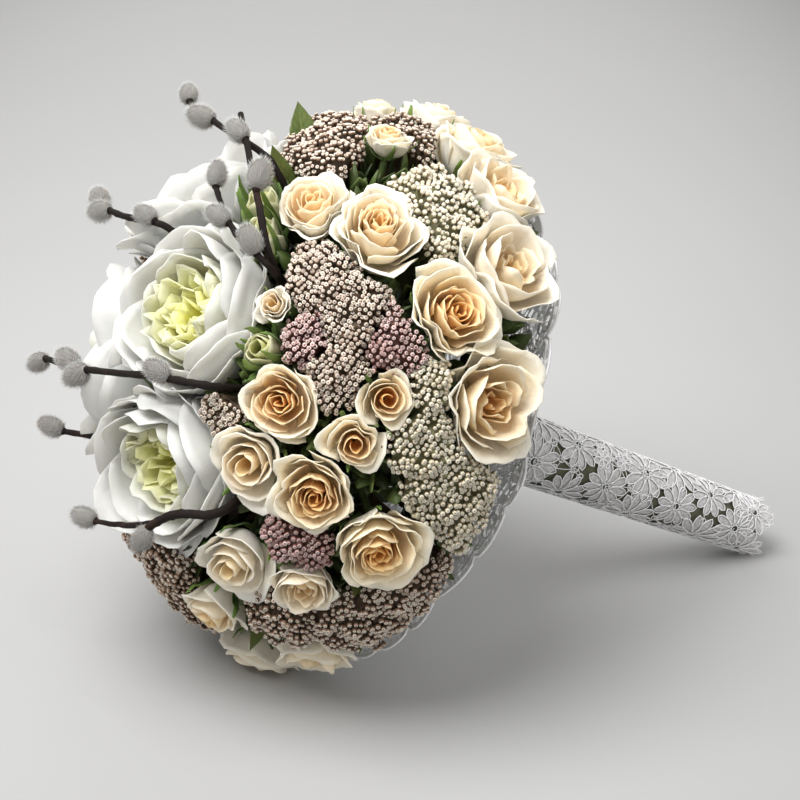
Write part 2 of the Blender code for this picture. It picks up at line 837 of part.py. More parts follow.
def flower_stem(direction, foot):
    """A flower's own stem, from the crossing to just under the flower."""
    along = float(direction @ CROWN)
    out = unit(direction - CROWN * along)
    widest = 1.0 - math.cos(math.radians(LAST_TILT))
    spread = STEM_SPREAD * math.sqrt((1.0 - along) / widest)
    points = [
        on_axis(sum(CROSSING_STATIONS) / 2) + out * spread,
        MIDDLE + direction * HUB_RADIUS,
        MIDDLE + direction * (foot - GAP),
    ]
    maker = bmesh.new()
    add_tube(maker, points, [STEM_SWELL * STEM_RADIUS, STEM_RADIUS, STEM_RADIUS], 3)
    return finish(maker, "flower_stem", STEM_GREEN, 0.6)


def leaf(place, width, proud):
    """A pointed, toothed leaf standing between two flowers."""
    axis = place.direction
    across = side_axes(axis)[0]
    tip = dome_reach(axis) + proud * MM
    root = tip - LEAF_LENGTH
    steps = 2 * LEAF_TEETH + 1
    left = []
    right = []
    for i in range(1, steps):
        share = i / steps
        tooth = 1.0 if i % 2 else LEAF_NOTCH
        half = width * MM / 2 * math.sin(math.pi * share**LEAF_FULLEST) * tooth
        point = MIDDLE + axis * (root + share * LEAF_LENGTH)
        left.append(point + across * half * room_share(place, point, across * (half + GAP)))
        right.append(point - across * half * room_share(place, point, -across * (half + GAP)))
    thick = np.cross(axis, across) * LEAF_WALL / 2
    outline = [MIDDLE + axis * root] + left + [MIDDLE + axis * tip] + right[::-1]
    maker = bmesh.new()
    front = [maker.verts.new(point + thick) for point in outline]
    back = [maker.verts.new(point - thick) for point in outline]
    count = len(outline)
    tip_at = len(left) + 1
    for side, flip in ((front, False), (back, True)):
        faces = [(side[0], side[1], side[-1])]
        for i in range(1, len(left)):
            faces.append((side[i], side[i + 1], side[count - i - 1]))
            faces.append((side[i], side[count - i - 1], side[count - i]))
        faces.append((side[tip_at - 1], side[tip_at], side[tip_at + 1]))
        for face in faces:
            maker.faces.new(face[::-1] if flip else face)
    for i in range(count):
        j = (i + 1) % count
        maker.faces.new((front[i], back[i], back[j]))
        maker.faces.new((front[i], back[j], front[j]))
    bmesh.ops.recalc_face_normals(maker, faces=maker.faces)
    return finish(maker, place.name, STEM_GREEN, 0.6), root


def tie():
    """Turns of twine around the stems, drawn as one ribbed band."""
    inside = stem_radius(TIE_START) + GAP
    outer = []
    inner = []
    for i in range(TIE_RIBS):
        centre = on_axis(TIE_START + TIE_LENGTH * i / (TIE_RIBS - 1))
        reach = inside + (TIE_WALL if i % 2 else TIE_VALLEY)
        ways = [ring_way(360 * k / HANDLE_SIDES) for k in range(HANDLE_SIDES)]
        outer.append([centre + out * reach for out in ways])
        if i in (0, TIE_RIBS - 1):
            inner.append([centre + out * inside for out in ways])
    close_bands("binding_tie", outer + inner[::-1], TWINE_BROWN, 0.9)


def collar():
    """A gathered frill of lace with a scalloped rim."""
    columns = COLLAR_SCALLOPS * 2
    front = []
    back = []
    neck = handle_radius(COLLAR_NECK_BACK) + GAP
    for share in (0.0, 0.5, 1.0):
        front_ring = []
        back_ring = []
        for i in range(columns):
            around = 360.0 * i / columns
            wave = math.sin(math.radians(around) * COLLAR_WAVES) * COLLAR_WAVE * share
            reach = neck + (COLLAR_RADIUS - neck) * share
            if share == 1.0 and i % 2 == 0:
                reach -= COLLAR_SCALLOP
            depth = COLLAR_NECK_BACK + (COLLAR_RIM_BACK - COLLAR_NECK_BACK) * share**1.2 + wave
            point = on_axis(depth) + ring_way(around) * reach
            front_ring.append(off_table(point, TABLE_CLEAR))
            back_ring.append(off_table(point - CROWN * COLLAR_WALL, TABLE_CLEAR))
        front.append(front_ring)
        back.append(back_ring)
    close_bands("lace_collar", front + back[::-1], COLLAR_GREY, 0.8)


def centre_on_table():
    """Moves everything so that the origin is under the middle of the whole bouquet."""
    pieces = list(bpy.context.scene.objects)
    points = [vert.co for piece in pieces for vert in piece.data.vertices]
    low = [min(point[k] for point in points) for k in range(3)]
    high = [max(point[k] for point in points) for k in range(3)]
    shift = Vector((-(low[0] + high[0]) / 2, -(low[1] + high[1]) / 2, -low[2]))
    for piece in pieces:
        piece.data.transform(Matrix.Translation(shift))


STEM_GREEN = (0.10, 0.16, 0.05)
TWIG_BROWN = (0.07, 0.04, 0.03)
TWINE_BROWN = (0.45, 0.36, 0.22)
LACE_GREY = (0.66, 0.65, 0.67)
COLLAR_GREY = (0.72, 0.72, 0.74)
TAPE_GREEN = (0.16, 0.19, 0.09)
PEONY_WHITE = (0.86, 0.86, 0.80)
ROSE_CREAM = (0.88, 0.68, 0.42)
BUD_GREEN = (0.35, 0.42, 0.12)
RICE_BEIGE = (0.52, 0.44, 0.34)
RICE_CREAM = (0.66, 0.62, 0.50)
RICE_PINK = (0.45, 0.24, 0.22)
RICE_COLOURS = {
    "rice_03": RICE_CREAM,
    "rice_05": RICE_PINK,
    "rice_06": RICE_PINK,
    "rice_07": RICE_CREAM,
    "rice_10": RICE_PINK,
}


def build():
    for old in list(bpy.data.objects):
        bpy.data.objects.remove(old)
    places = list_places()
    settle(places)
    raise_walls(places)
    stem_backs("stem_bundle", BUNDLE_STATIONS)
    stems = [stem_backs("flower_stems", CROSSING_STATIONS)]
    sprays = {}
    for place in places:
        foot = HEAD_FOOT
        clear = 0.0 if place.name in RESTING_ROSES else TABLE_CLEAR
        if place.kind == "peony":
            width, proud = PEONIES[place.name][2:]
            foot = flower(place, width, proud, PEONY_ROWS, PEONY_HEART, 7, PEONY_WHITE, clear)
        elif place.kind == "rose":
            width, proud = ROSES[place.name][2:]
            if width >= FULL_ROSE_WIDTH:
                foot = flower(place, width, proud, FULL_ROSE_ROWS, FULL_ROSE_HEART, 5, ROSE_CREAM, clear)
            else:
                foot = flower(place, width, proud, SPRAY_ROSE_ROWS, SPRAY_ROSE_HEART, 5, ROSE_CREAM, clear)
        elif place.kind == "bud":
            width, proud = BUDS[place.name][2:]
            foot = flower(place, width, proud, BUD_ROWS, BUD_TIP, 5, BUD_GREEN, clear)
        elif place.kind == "rice":
            sprays.setdefault(place.name, []).append(place)
        elif place.kind == "twig":
            willow(place, TWIGS[place.name], TWIG_BROWN)
            foot = TWIG_FOOT
        else:
            width, proud = LEAVES[int(place.name[5:])][2:]
            piece, root = leaf(place, width, proud)
            stems.append(piece)
            foot = root + LEAF_STALK
        stems.append(flower_stem(place.direction, foot))
    for name, group in sprays.items():
        rice_spray(name, group, RICE_COLOURS.get(name, RICE_BEIGE))
    fuse(stems)
    tie()
    wrap_start = TIE_START + TIE_LENGTH + GAP
    wrap_end = HANDLE_END - WRAP_SHORT
    lace = SLEEVE_WALL + GAP
    wrap = [(back, handle_radius(back) - lace) for back in (wrap_start, wrap_end)]
    pipe("stem_wrap", wrap, WRAP_WALL, TAPE_GREEN, 0.45)
    backs = [SLEEVE_START + (HANDLE_END - SLEEVE_START) * i / 2 for i in range(3)]
    sleeve = [(back, handle_radius(back)) for back in backs]
    pipe("lace_sleeve", sleeve, SLEEVE_WALL, LACE_GREY, 0.85, LACE_END_WAVE)
    collar()
    centre_on_table()


build()
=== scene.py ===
"""Looks of the hand-tied bridal bouquet: petals, rice flower, willow, lace and light."""

import json
import math
from types import SimpleNamespace
import bmesh
import bpy
import numpy as np
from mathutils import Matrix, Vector
from mathutils.bvhtree import BVHTree


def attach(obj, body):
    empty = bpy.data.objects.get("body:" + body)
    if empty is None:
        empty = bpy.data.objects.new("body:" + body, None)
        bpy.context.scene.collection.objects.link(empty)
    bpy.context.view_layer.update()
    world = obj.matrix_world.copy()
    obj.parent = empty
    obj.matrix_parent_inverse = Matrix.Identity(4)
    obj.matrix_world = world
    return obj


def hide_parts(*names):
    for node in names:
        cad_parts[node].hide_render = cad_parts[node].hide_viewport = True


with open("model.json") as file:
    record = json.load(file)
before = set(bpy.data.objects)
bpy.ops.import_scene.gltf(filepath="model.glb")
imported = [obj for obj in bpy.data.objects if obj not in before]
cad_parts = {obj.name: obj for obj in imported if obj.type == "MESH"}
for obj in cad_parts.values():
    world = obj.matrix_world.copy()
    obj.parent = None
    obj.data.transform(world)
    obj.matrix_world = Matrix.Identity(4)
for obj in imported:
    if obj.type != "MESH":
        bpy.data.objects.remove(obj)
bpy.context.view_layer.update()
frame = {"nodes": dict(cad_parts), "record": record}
NODES = frame["nodes"]
SLOT_OF = {part["node"]: part["material_slot"] for part in frame["record"]["subparts"]}
MM = 0.001


# Where things are, worked out from the frame


def get_places(mesh):
    places = np.empty(len(mesh.vertices) * 3)
    mesh.vertices.foreach_get("co", places)
    return places.reshape(-1, 3)


def corners(node):
    """Places of a node's corners."""
    return get_places(NODES[node].data)


def unit(vector):
    return vector / np.linalg.norm(vector)


def lengths(rows):
    return np.linalg.norm(rows, axis=1)


def units(rows):
    return rows / lengths(rows)[:, None]


TIE_TO_MIDDLE = 61.5 * MM
TIE_CENTRE = corners("binding_tie").mean(0)
CROWN = unit(TIE_CENTRE - corners("stem_wrap").mean(0))
MIDDLE = TIE_CENTRE + CROWN * TIE_TO_MIDDLE
FAR = np.array((0.0, 1.0, 0.0))
TOP = unit(np.cross(CROWN, FAR))
TOP = TOP if TOP[2] > 0 else -TOP
DOME_RADIUS = 140 * MM
DOME_DEPTH = 115 * MM
TABLE_CLEAR = 0.4 * MM


def ring_way(around):
    """The way across the axis at this turn, from the top towards the far side."""
    turn = math.radians(around)
    return math.cos(turn) * TOP + math.sin(turn) * FAR


def way(around, tilt):
    """The way out from the middle at this turn round the crown and tilt from it, in degrees."""
    lean_out = math.radians(tilt)
    return math.cos(lean_out) * CROWN + math.sin(lean_out) * ring_way(around)


def on_axis(back):
    return MIDDLE - CROWN * back


def dome_reach(direction):
    """How far the dome of flowers reaches this way from the middle."""
    along = max(float(direction @ CROWN), 0.0)
    across = math.sqrt(max(1.0 - along * along, 0.0))
    return 1.0 / math.hypot(along / DOME_DEPTH, across / DOME_RADIUS)


def side_axes(direction):
    """Two ways across a direction."""
    first = unit(np.cross(direction, FAR + 0.01 * TOP))
    return first, np.cross(direction, first)


def lift_off_table(places, clear=TABLE_CLEAR):
    """Draws what is under the table back along its way from the middle."""
    low = places[:, 2] < clear
    share = (MIDDLE[2] - clear) / (MIDDLE[2] - places[low, 2])
    places[low] = MIDDLE + (places[low] - MIDDLE) * share[:, None]
    return places


# Shader maths and materials


def math_node(operation, swapped=False):
    """An operator of Value, which adds one Math node."""

    def added(self, other=0.0):
        pair = (other, self) if swapped else (self, other)
        return self.finish.node("ShaderNodeMath", {"operation": operation}, dict(enumerate(pair)))

    return added


class Value:
    """A number or colour on a surface, so that shader maths reads as sums."""

    __add__, __radd__ = math_node("ADD"), math_node("ADD", True)
    __sub__, __rsub__ = math_node("SUBTRACT"), math_node("SUBTRACT", True)
    __mul__, __rmul__ = math_node("MULTIPLY"), math_node("MULTIPLY", True)
    over = math_node("GREATER_THAN")
    or_more = math_node("MAXIMUM")
    fraction = math_node("FRACT")
    positive = math_node("ABSOLUTE")

    def __init__(self, finish, socket):
        self.finish = finish
        self.socket = socket

    def held(self):
        """The value kept between 0 and 1."""
        return self.finish.node("ShaderNodeClamp", {}, {"Value": self})

    def near_level(self, levels, width):
        """1 on the contour lines of the value, this many of them, 0 between."""
        return (width - ((self * levels).fraction() - 0.5).positive()).over(0.0)


class Finish:
    """One material, built node by node."""

    def __init__(self, name, **constants):
        self.material = bpy.data.materials.new(name)
        self.material.use_nodes = True
        self.tree = self.material.node_tree
        self.shader = self.tree.nodes["Principled BSDF"]
        for socket, value in constants.items():
            self.shader.inputs[socket.replace("_", " ")].default_value = value

    def node(self, kind, settings, sockets, output=0):
        made = self.tree.nodes.new(kind)
        for setting, value in settings.items():
            if setting == "stops":
                ramp = made.color_ramp
                while len(ramp.elements) < len(value):
                    ramp.elements.new(0.5)
                for element, (position, colour) in zip(ramp.elements, value):
                    element.position = position
                    element.color = (*colour, 1.0)
            else:
                setattr(made, setting, value)
        for socket, value in sockets.items():
            if isinstance(value, Value):
                self.tree.links.new(value.socket, made.inputs[socket])
            else:
                made.inputs[socket].default_value = value
        return Value(self, made.outputs[output])

    def attribute(self, name):
        return self.node("ShaderNodeAttribute", {"attribute_name": name}, {}, "Fac")

    def place(self):
        return self.node("ShaderNodeTexCoord", {}, {}, "Object")

    def surface(self):
        return self.node("ShaderNodeUVMap", {"uv_map": "UVMap"}, {})

    def stretched(self, where, scale):
        return self.node("ShaderNodeMapping", {}, {"Vector": where, "Scale": scale})

    def noise(self, scale, detail=3.0, where=None):
        """Clouds of noise, at one scale or at one for each direction."""
        where = where or self.place()
        if isinstance(scale, tuple):
            where, scale = self.stretched(where, scale), 1.0
        return self.node("ShaderNodeTexNoise", {}, {"Vector": where, "Scale": scale, "Detail": detail})

    def cells(self, scale):
        return self.node("ShaderNodeTexVoronoi", {}, {"Vector": self.place(), "Scale": scale})

    def rifts(self, scale):
        """How far a place on the surface is from the edges of irregular cells."""
        sockets = {"Vector": self.stretched(self.surface(), scale), "Scale": 1.0}
        return self.node("ShaderNodeTexVoronoi", {"feature": "DISTANCE_TO_EDGE"}, sockets)

    def ramp(self, share, stops):
        return self.node("ShaderNodeValToRGB", {"stops": stops}, {"Fac": share})

    def mix(self, share, one, other):
        one = one if isinstance(one, Value) else (*one, 1.0)
        other = other if isinstance(other, Value) else (*other, 1.0)
        return self.node("ShaderNodeMix", {"data_type": "RGBA"}, {0: share, 6: one, 7: other}, 2)

    def feed(self, socket, value):
        self.tree.links.new(value.socket, self.shader.inputs[socket])

    def dress(self, colour, roughness, height, strength, depth):
        """Feeds the shader its colour, roughness and relief, and gives the material."""
        self.feed("Base Color", colour)
        self.feed("Roughness", roughness)
        sockets = {"Height": height, "Strength": strength, "Distance": depth}
        self.feed("Normal", self.node("ShaderNodeBump", {}, sockets))
        return self.material


def petal_finish(name, pale, deep, guard, lengthwise=0.28, outward=0.74):
    """Petals that deepen from a pale rim to the heart, partly their own deeper heart colour and partly
    painted shade down among the petals, with fine veins and green sepals.
    """
    finish = Finish(
        name, Subsurface_Weight=0.3, Subsurface_Radius=(1.0, 0.85, 0.65), Subsurface_Scale=0.003,
        Specular_IOR_Level=0.25, Sheen_Weight=0.08,
    )
    along, ring, tone, leafy = map(finish.attribute, ("along", "ring", "tone", "leafy"))
    veins = finish.noise((46.0, 2.2, 1.0), where=finish.surface())
    clouds = finish.noise(60.0)
    rim = ((along - 0.9) * 10.0).held()
    # The ramp runs from petal bases and heart (low) to rims (high). The deeper, darker colour low down is
    # partly the flowers' own heart colour and partly painted shade among the petals.
    height = along * lengthwise + ring * outward + rim * 0.03
    height = (height + (veins - 0.5) * 0.14 + (clouds - 0.5) * 0.12).held()
    colour = finish.mix(tone, finish.ramp(height, pale), finish.ramp(height, deep))
    foot = ((0.34 - along) * 3.2).held() * ring
    colour = finish.mix(foot * 0.8, colour, guard)
    leaf_green = finish.mix(clouds, (0.050, 0.13, 0.018), (0.17, 0.27, 0.055))
    colour = finish.mix(leafy, colour, leaf_green)
    return finish.dress(colour, 0.52 + (veins - 0.5) * 0.2, veins, 0.25, 0.0006)


# Petal colours from heart and petal bases (0) to rims (1). The deep orange at 0 is partly the roses' own
# apricot heart and partly painted shade among the petals.
ROSE_PALE = (
    (0.0, (0.86, 0.47, 0.13)), (0.22, (0.93, 0.67, 0.33)), (0.5, (0.955, 0.81, 0.58)),
    (0.75, (0.96, 0.875, 0.73)), (1.0, (0.95, 0.905, 0.79)),
)
ROSE_DEEP = (
    (0.0, (0.72, 0.24, 0.03)), (0.26, (0.88, 0.42, 0.10)), (0.5, (0.94, 0.66, 0.33)),
    (0.75, (0.95, 0.82, 0.58)), (1.0, (0.95, 0.88, 0.71)),
)
# The yellow-green heart is the peony's own colour. The darker olive at the very bottom is painted shade
# among the petals.
PEONY_PALE = (
    (0.0, (0.46, 0.46, 0.03)), (0.34, (0.76, 0.74, 0.20)), (0.6, (0.76, 0.75, 0.42)),
    (0.85, (0.71, 0.71, 0.61)), (1.0, (0.72, 0.715, 0.68)),
)
PEONY_DEEP = (
    (0.0, (0.42, 0.44, 0.02)), (0.38, (0.75, 0.73, 0.14)), (0.66, (0.75, 0.74, 0.34)),
    (0.9, (0.71, 0.71, 0.56)), (1.0, (0.72, 0.715, 0.67)),
)
BUD_PALE = ((0.0, (0.45, 0.52, 0.16)), (0.5, (0.70, 0.70, 0.32)), (1.0, (0.86, 0.84, 0.60)))


def bead_finish(name, tip, body, stalk):
    """Rice flower: pale dimpled beads that darken to their stalks, partly their own brown bases and partly
    painted shade low between the beads.
    """
    finish = Finish(name, Subsurface_Weight=0.1, Subsurface_Scale=0.001, Specular_IOR_Level=0.35)
    along, tone = map(finish.attribute, ("along", "tone"))
    grain = finish.noise(900.0)
    # Painted shade: below its waist each bead falls to 0.4 of its body colour, for the shade low between
    # the beads.
    dark = tuple(0.4 * c for c in body)
    stops = ((0.0, stalk), (0.38, dark), (0.66, body), (0.80, tip), (1.0, tip))
    colour = finish.ramp((along + (tone - 0.5) * 0.14).held(), stops)
    colour = finish.mix((tone - 0.5).held() * 1.3, colour, body)
    colour = finish.mix((grain - 0.45).held() * 0.5, colour, stalk)
    return finish.dress(colour, 0.5 + grain * 0.3, grain, 0.3, 0.0003)


def leaf_finish():
    """Leaf green, blotched, with paler veins."""
    finish = Finish("leaf_green", Subsurface_Weight=0.08, Subsurface_Scale=0.002, Specular_IOR_Level=0.4)
    along, tone, vein = map(finish.attribute, ("along", "tone", "vein"))
    blotches = finish.noise(120.0)
    dark = finish.mix(tone, (0.020, 0.030, 0.010), (0.085, 0.15, 0.03))
    light = finish.mix(tone, (0.045, 0.062, 0.020), (0.20, 0.28, 0.07))
    colour = finish.mix((blotches * 0.7 + vein * 0.6).held(), dark, light)
    colour = finish.mix(along * 0.25, colour, light)
    return finish.dress(colour, 0.42 + blotches * 0.2, vein * 0.6 + blotches * 0.4, 0.5, 0.0008)


def bark_finish():
    """Willow bark, nearly black with paler specks and lengthwise furrows."""
    finish = Finish("willow_bark", Specular_IOR_Level=0.18)
    furrows = finish.noise((9.0, 60.0, 1.0), 5.0, finish.surface())
    specks = finish.cells(420.0)
    worn = finish.noise(90.0)
    colour = finish.mix(furrows, (0.003, 0.002, 0.002), (0.020, 0.013, 0.010))
    colour = finish.mix(((0.16 - specks) * 7.0).held() * 0.35, colour, (0.16, 0.12, 0.10))
    colour = finish.mix((worn - 0.55).held() * 1.6, colour, (0.10, 0.045, 0.03))
    colour = finish.mix(finish.attribute("cut"), colour, (0.62, 0.50, 0.33))
    return finish.dress(colour, 0.55 + furrows * 0.3, furrows * 0.8 + specks * 0.2, 0.6, 0.0007)


def fur_finish():
    """Silver-grey silk of the catkins. The darker root of each hair is painted shade deep in the fur."""
    finish = Finish("catkin_silk", Subsurface_Weight=0.15, Subsurface_Scale=0.0015, Sheen_Weight=0.5)
    patches = finish.noise(260.0)
    # Painted shade: the hair roots and the egg under them are dark grey and the tips silver, so each catkin
    # reads darker in its middle.
    colour = finish.mix(finish.attribute("along"), (0.14, 0.13, 0.12), (0.66, 0.65, 0.62))
    colour = finish.mix(patches * 0.3, colour, (0.42, 0.40, 0.36))
    return finish.dress(colour, 0.7 + patches * 0.2, patches, 0.3, 0.0004)


def stem_finish():
    """Green stems with fine fibres along them."""
    finish = Finish("stem_green", Specular_IOR_Level=0.4)
    fibres = finish.noise((160.0, 900.0, 900.0))
    colour = finish.mix(fibres, (0.03, 0.055, 0.014), (0.12, 0.17, 0.05))
    return finish.dress(colour, 0.45 + fibres * 0.3, fibres, 0.4, 0.0005)


def twine_finish():
    """Brown twine, its strands twisted."""
    finish = Finish("twine_brown", Sheen_Weight=0.2)
    twist = finish.noise((700.0, 260.0, 700.0))
    colour = finish.mix(twist, (0.24, 0.17, 0.09), (0.52, 0.42, 0.27))
    return finish.dress(colour, 0.8 + twist * 0.15, twist, 0.7, 0.0008)


def tape_finish():
    """Olive-green satin tape, wound in overlapping turns."""
    finish = Finish("olive_tape", Sheen_Weight=0.25, Specular_IOR_Level=0.45)
    creases = finish.noise((260.0, 90.0, 90.0), 5.0)
    weave = finish.noise(1400.0, 2.0)
    colour = finish.mix(creases, (0.055, 0.060, 0.030), (0.13, 0.135, 0.075))
    return finish.dress(colour, 0.42 + weave * 0.2, creases * 0.7 + weave * 0.3, 0.4, 0.0008)


def thread_finish(name, light, shade):
    """Silver-white lace thread, close stitches with small gaps between them."""
    finish = Finish(
        name, Sheen_Weight=0.3, Specular_IOR_Level=0.4, Subsurface_Weight=0.25,
        Subsurface_Radius=(1, 1, 1), Subsurface_Scale=0.001,
    )
    stitches = finish.noise(620.0, 2.0)
    fuzz = finish.noise(1500.0, 2.0)
    body = (stitches * 0.75 + fuzz * 0.25).held()
    pale = (body * 1.6 - 0.5 + finish.attribute("cord") * 0.75).held()
    return finish.dress(finish.mix(pale, shade, light), 0.62 + fuzz * 0.25, body, 0.8, 0.0006)


def net_finish():
    """Fine net with woven bands and swirling cords, seen through between its threads."""
    finish = Finish(
        "collar_net", Sheen_Weight=0.3, Subsurface_Weight=0.5, Subsurface_Radius=(1.0, 1.0, 1.0),
        Subsurface_Scale=0.002,
    )
    thread = (0.055 - finish.rifts((520.0, 58.0, 1.0))).over(0.0)
    bars = (0.095 - finish.rifts((150.0, 12.0, 1.0))).over(0.0)
    winding = finish.noise((60.0, 7.5, 1.0), 0.6, finish.surface())
    cords_drawn = winding.near_level(6.0, 0.07).or_more(bars)
    fillings = winding.over(0.60)
    weave = finish.noise(900.0, 2.0)
    share = finish.attribute("share")
    band = share.over(0.968).or_more(share.over(0.80) - share.over(0.83))
    woven = band.or_more(fillings * 0.6) * (weave * 0.9 + 0.2)
    finish.feed("Alpha", (thread * 0.3).or_more(cords_drawn * 0.85).or_more(woven).held())
    colour = finish.mix((weave * 1.4 - 0.3).held(), (0.66, 0.66, 0.67), (0.93, 0.93, 0.94))
    return finish.dress(colour, 0.7 + weave * 0.2, cords_drawn * 0.6 + weave * 0.4, 0.7, 0.0008)


# Making and handing over pieces


def deselect():
    bpy.ops.object.select_all(action="DESELECT")


def set_places(mesh, places):
    mesh.vertices.foreach_set("co", np.asarray(places, np.float32).ravel())
    mesh.update()


def new_piece(name, data):
    piece = bpy.data.objects.new(name, data)
    bpy.context.scene.collection.objects.link(piece)
    return piece


def take_mesh(piece):
    """A copy of a piece's mesh, and the piece is gone."""
    mesh = piece.data.copy()
    bpy.data.objects.remove(piece)
    return mesh


def primitive(add, **settings):
    """Adds a primitive, its place put into its mesh."""
    deselect()
    add(**settings)
    bpy.ops.object.transform_apply(location=True, rotation=False, scale=False)
    return bpy.context.view_layer.objects.active


def stand(shape, start, axis, length, first, wide, second, thick):
    """Corners of a shape that stands along its own Z, set along an axis."""
    places = start + np.outer(shape[:, 2] * length, axis)
    return places + np.outer(shape[:, 0] * wide, first) + np.outer(shape[:, 1] * thick, second)


def merge_corners(mesh, apart, outwards=False):
    """Joins up corners that lie this close, and turns the faces outwards."""
    maker = bmesh.new()
    maker.from_mesh(mesh)
    bmesh.ops.remove_doubles(maker, verts=maker.verts, dist=apart)
    if outwards:
        bmesh.ops.recalc_face_normals(maker, faces=maker.faces)
    maker.to_mesh(mesh)
    maker.free()


def mark(mesh, name, values):
    """A number at every corner of a mesh, for its material to read."""
    layer = mesh.attributes.get(name) or mesh.attributes.new(name, "FLOAT", "POINT")
    values = np.broadcast_to(np.asarray(values, np.float32), (len(mesh.vertices),))
    layer.data.foreach_set("value", np.ascontiguousarray(values))


def join(pieces, name):
    """Joins pieces into one, which takes the name."""
    deselect()
    for piece in pieces:
        piece.select_set(True)
    bpy.context.view_layer.objects.active = pieces[0]
    if len(pieces) > 1:
        bpy.ops.object.join()
    whole = bpy.context.view_layer.objects.active
    whole.name = name
    whole.data.name = name
    return whole


def thicken(piece, thickness):
    """Gives a sheet its thickness on both sides."""
    deselect()
    bpy.context.view_layer.objects.active = piece
    wall = piece.modifiers.new("wall", "SOLIDIFY")
    wall.thickness = thickness
    wall.offset = 0.0
    bpy.ops.object.modifier_apply(modifier=wall.name)


def smooth(piece):
    piece.data.shade_smooth()


def hand_over(piece, nodes, material):
    """The piece moves with the bouquet and stands for its nodes."""
    piece.data.materials.clear()
    piece.data.materials.append(material)
    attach(piece, "root")
    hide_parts(*nodes)


def many_copies(name, shape, places, marks):
    """One mesh with a copy of a small shape at each place, given as sets of corners."""
    count = len(places)
    size = len(shape.vertices)
    faces = np.empty(len(shape.loops), np.int64)
    shape.loops.foreach_get("vertex_index", faces)
    sides = np.empty(len(shape.polygons), np.int64)
    shape.polygons.foreach_get("loop_total", sides)
    starts = np.concatenate(([0], np.cumsum(sides)[:-1]))
    mesh = bpy.data.meshes.new(name)
    mesh.vertices.add(count * size)
    mesh.vertices.foreach_set("co", np.asarray(places, np.float32).ravel())
    mesh.loops.add(count * len(faces))
    all_faces = (faces[None, :] + size * np.arange(count)[:, None]).ravel()
    mesh.loops.foreach_set("vertex_index", all_faces.astype(np.int32))
    mesh.polygons.add(count * len(sides))
    all_starts = (starts[None, :] + len(faces) * np.arange(count)[:, None]).ravel()
    mesh.polygons.foreach_set("loop_start", all_starts.astype(np.int32))
    mesh.update(calc_edges=True)
    for key, values in marks.items():
        mark(mesh, key, np.asarray(values).ravel())
    piece = new_piece(name, mesh)
    smooth(piece)
    return piece


# Petals


def petal_sheet(columns, rows):
    """The flat sheet that petals start from, in so many columns and rows."""
    add = bpy.ops.mesh.primitive_grid_add
    return take_mesh(primitive(add, x_subdivisions=columns, y_subdivisions=rows, size=2, calc_uvs=True))


PETAL = dict(
    turn=0.0, half=50.0, wide=0.5, root=0.05, low=-0.66, tip=-0.05, curl=90.0, lip=0.0, side=0.0,
    round=0.2, point=0.0, base=0.32, ruffle=0.0, ring=1.0, leafy=0.0, spiral=0.05, fineness="broad",
)


def shape_petal(sheets, random, **changes):
    """Bends a copy of the flat sheet round the flower's axis: turn, width, curl and rim."""
    want = SimpleNamespace(**{**PETAL, **changes})
    mesh = sheets[want.fineness].copy()
    flat = get_places(mesh)
    u = flat[:, 0]
    v = (flat[:, 1] + 1.0) / 2
    edge = np.abs(u)
    up = v * (1.0 - want.round * edge**2.6)
    up = up + want.point * v**3 * (1.0 - edge) ** 2
    width = want.base + (1.0 - want.base) * np.sin(np.pi / 2 * np.minimum(v / 0.62, 1.0))
    width = width * (1.0 - 0.75 * want.point * 2.2 * v**3)
    theta = np.radians(want.curl) * up
    height = (want.tip - want.low) / (1.0 - math.cos(math.radians(want.curl)))
    r = want.root + (want.wide - want.root) * np.sin(theta)
    z = want.low + height * (1.0 - np.cos(theta))
    roll = np.clip((up - 0.76) / 0.24, 0.0, 1.3)
    r = r + want.lip * roll**2
    z = z - want.lip * 0.6 * roll**3
    corner = np.clip((edge - 0.62) / 0.38, 0.0, 1.0) ** 2 * np.clip(v * 1.6 - 0.3, 0.0, 1.0)
    r = r + want.side * corner
    crease = want.ruffle * v**3
    shift = random.uniform(0, 6.28, 3)
    r = r + crease * np.sin(u * 5.0 + shift[0]) + 0.4 * crease * np.sin(u * 11.0 + shift[1])
    z = z + 0.7 * crease * np.sin(u * 7.0 + shift[2])
    r = np.maximum(r * (1.0 + want.spiral * u), 0.004)
    phi = np.radians(want.turn + want.half * width * u)
    set_places(mesh, np.column_stack((r * np.cos(phi), r * np.sin(phi), z)))
    mark(mesh, "along", np.clip(up, 0.0, 1.0))
    mark(mesh, "ring", want.ring)
    mark(mesh, "leafy", want.leafy)
    petal = new_piece("petal", mesh)
    return petal


GOLDEN = 137.508


def mixed(start, end, share):
    return start + (end - start) * share


def make_bloom(name, petals, sheets, random, thickness):
    """Joins a bloom's petals and gives them their thickness."""
    bloom = join([shape_petal(sheets, random, **petal) for petal in petals], name)
    thicken(bloom, thickness)
    smooth(bloom)
    return take_mesh(bloom)


def sepals(count, wide, low, tip, curl, half, lip, start=0.0):
    """Pointed green sepals under a bloom."""
    return [
        dict(
            turn=start + 360 / count * i, half=half, wide=wide, low=low, tip=tip, curl=curl, lip=lip,
            round=0.55, point=0.35, base=0.5, leafy=1.0, spiral=0.0, fineness="inner",
        )
        for i in range(count)
    ]


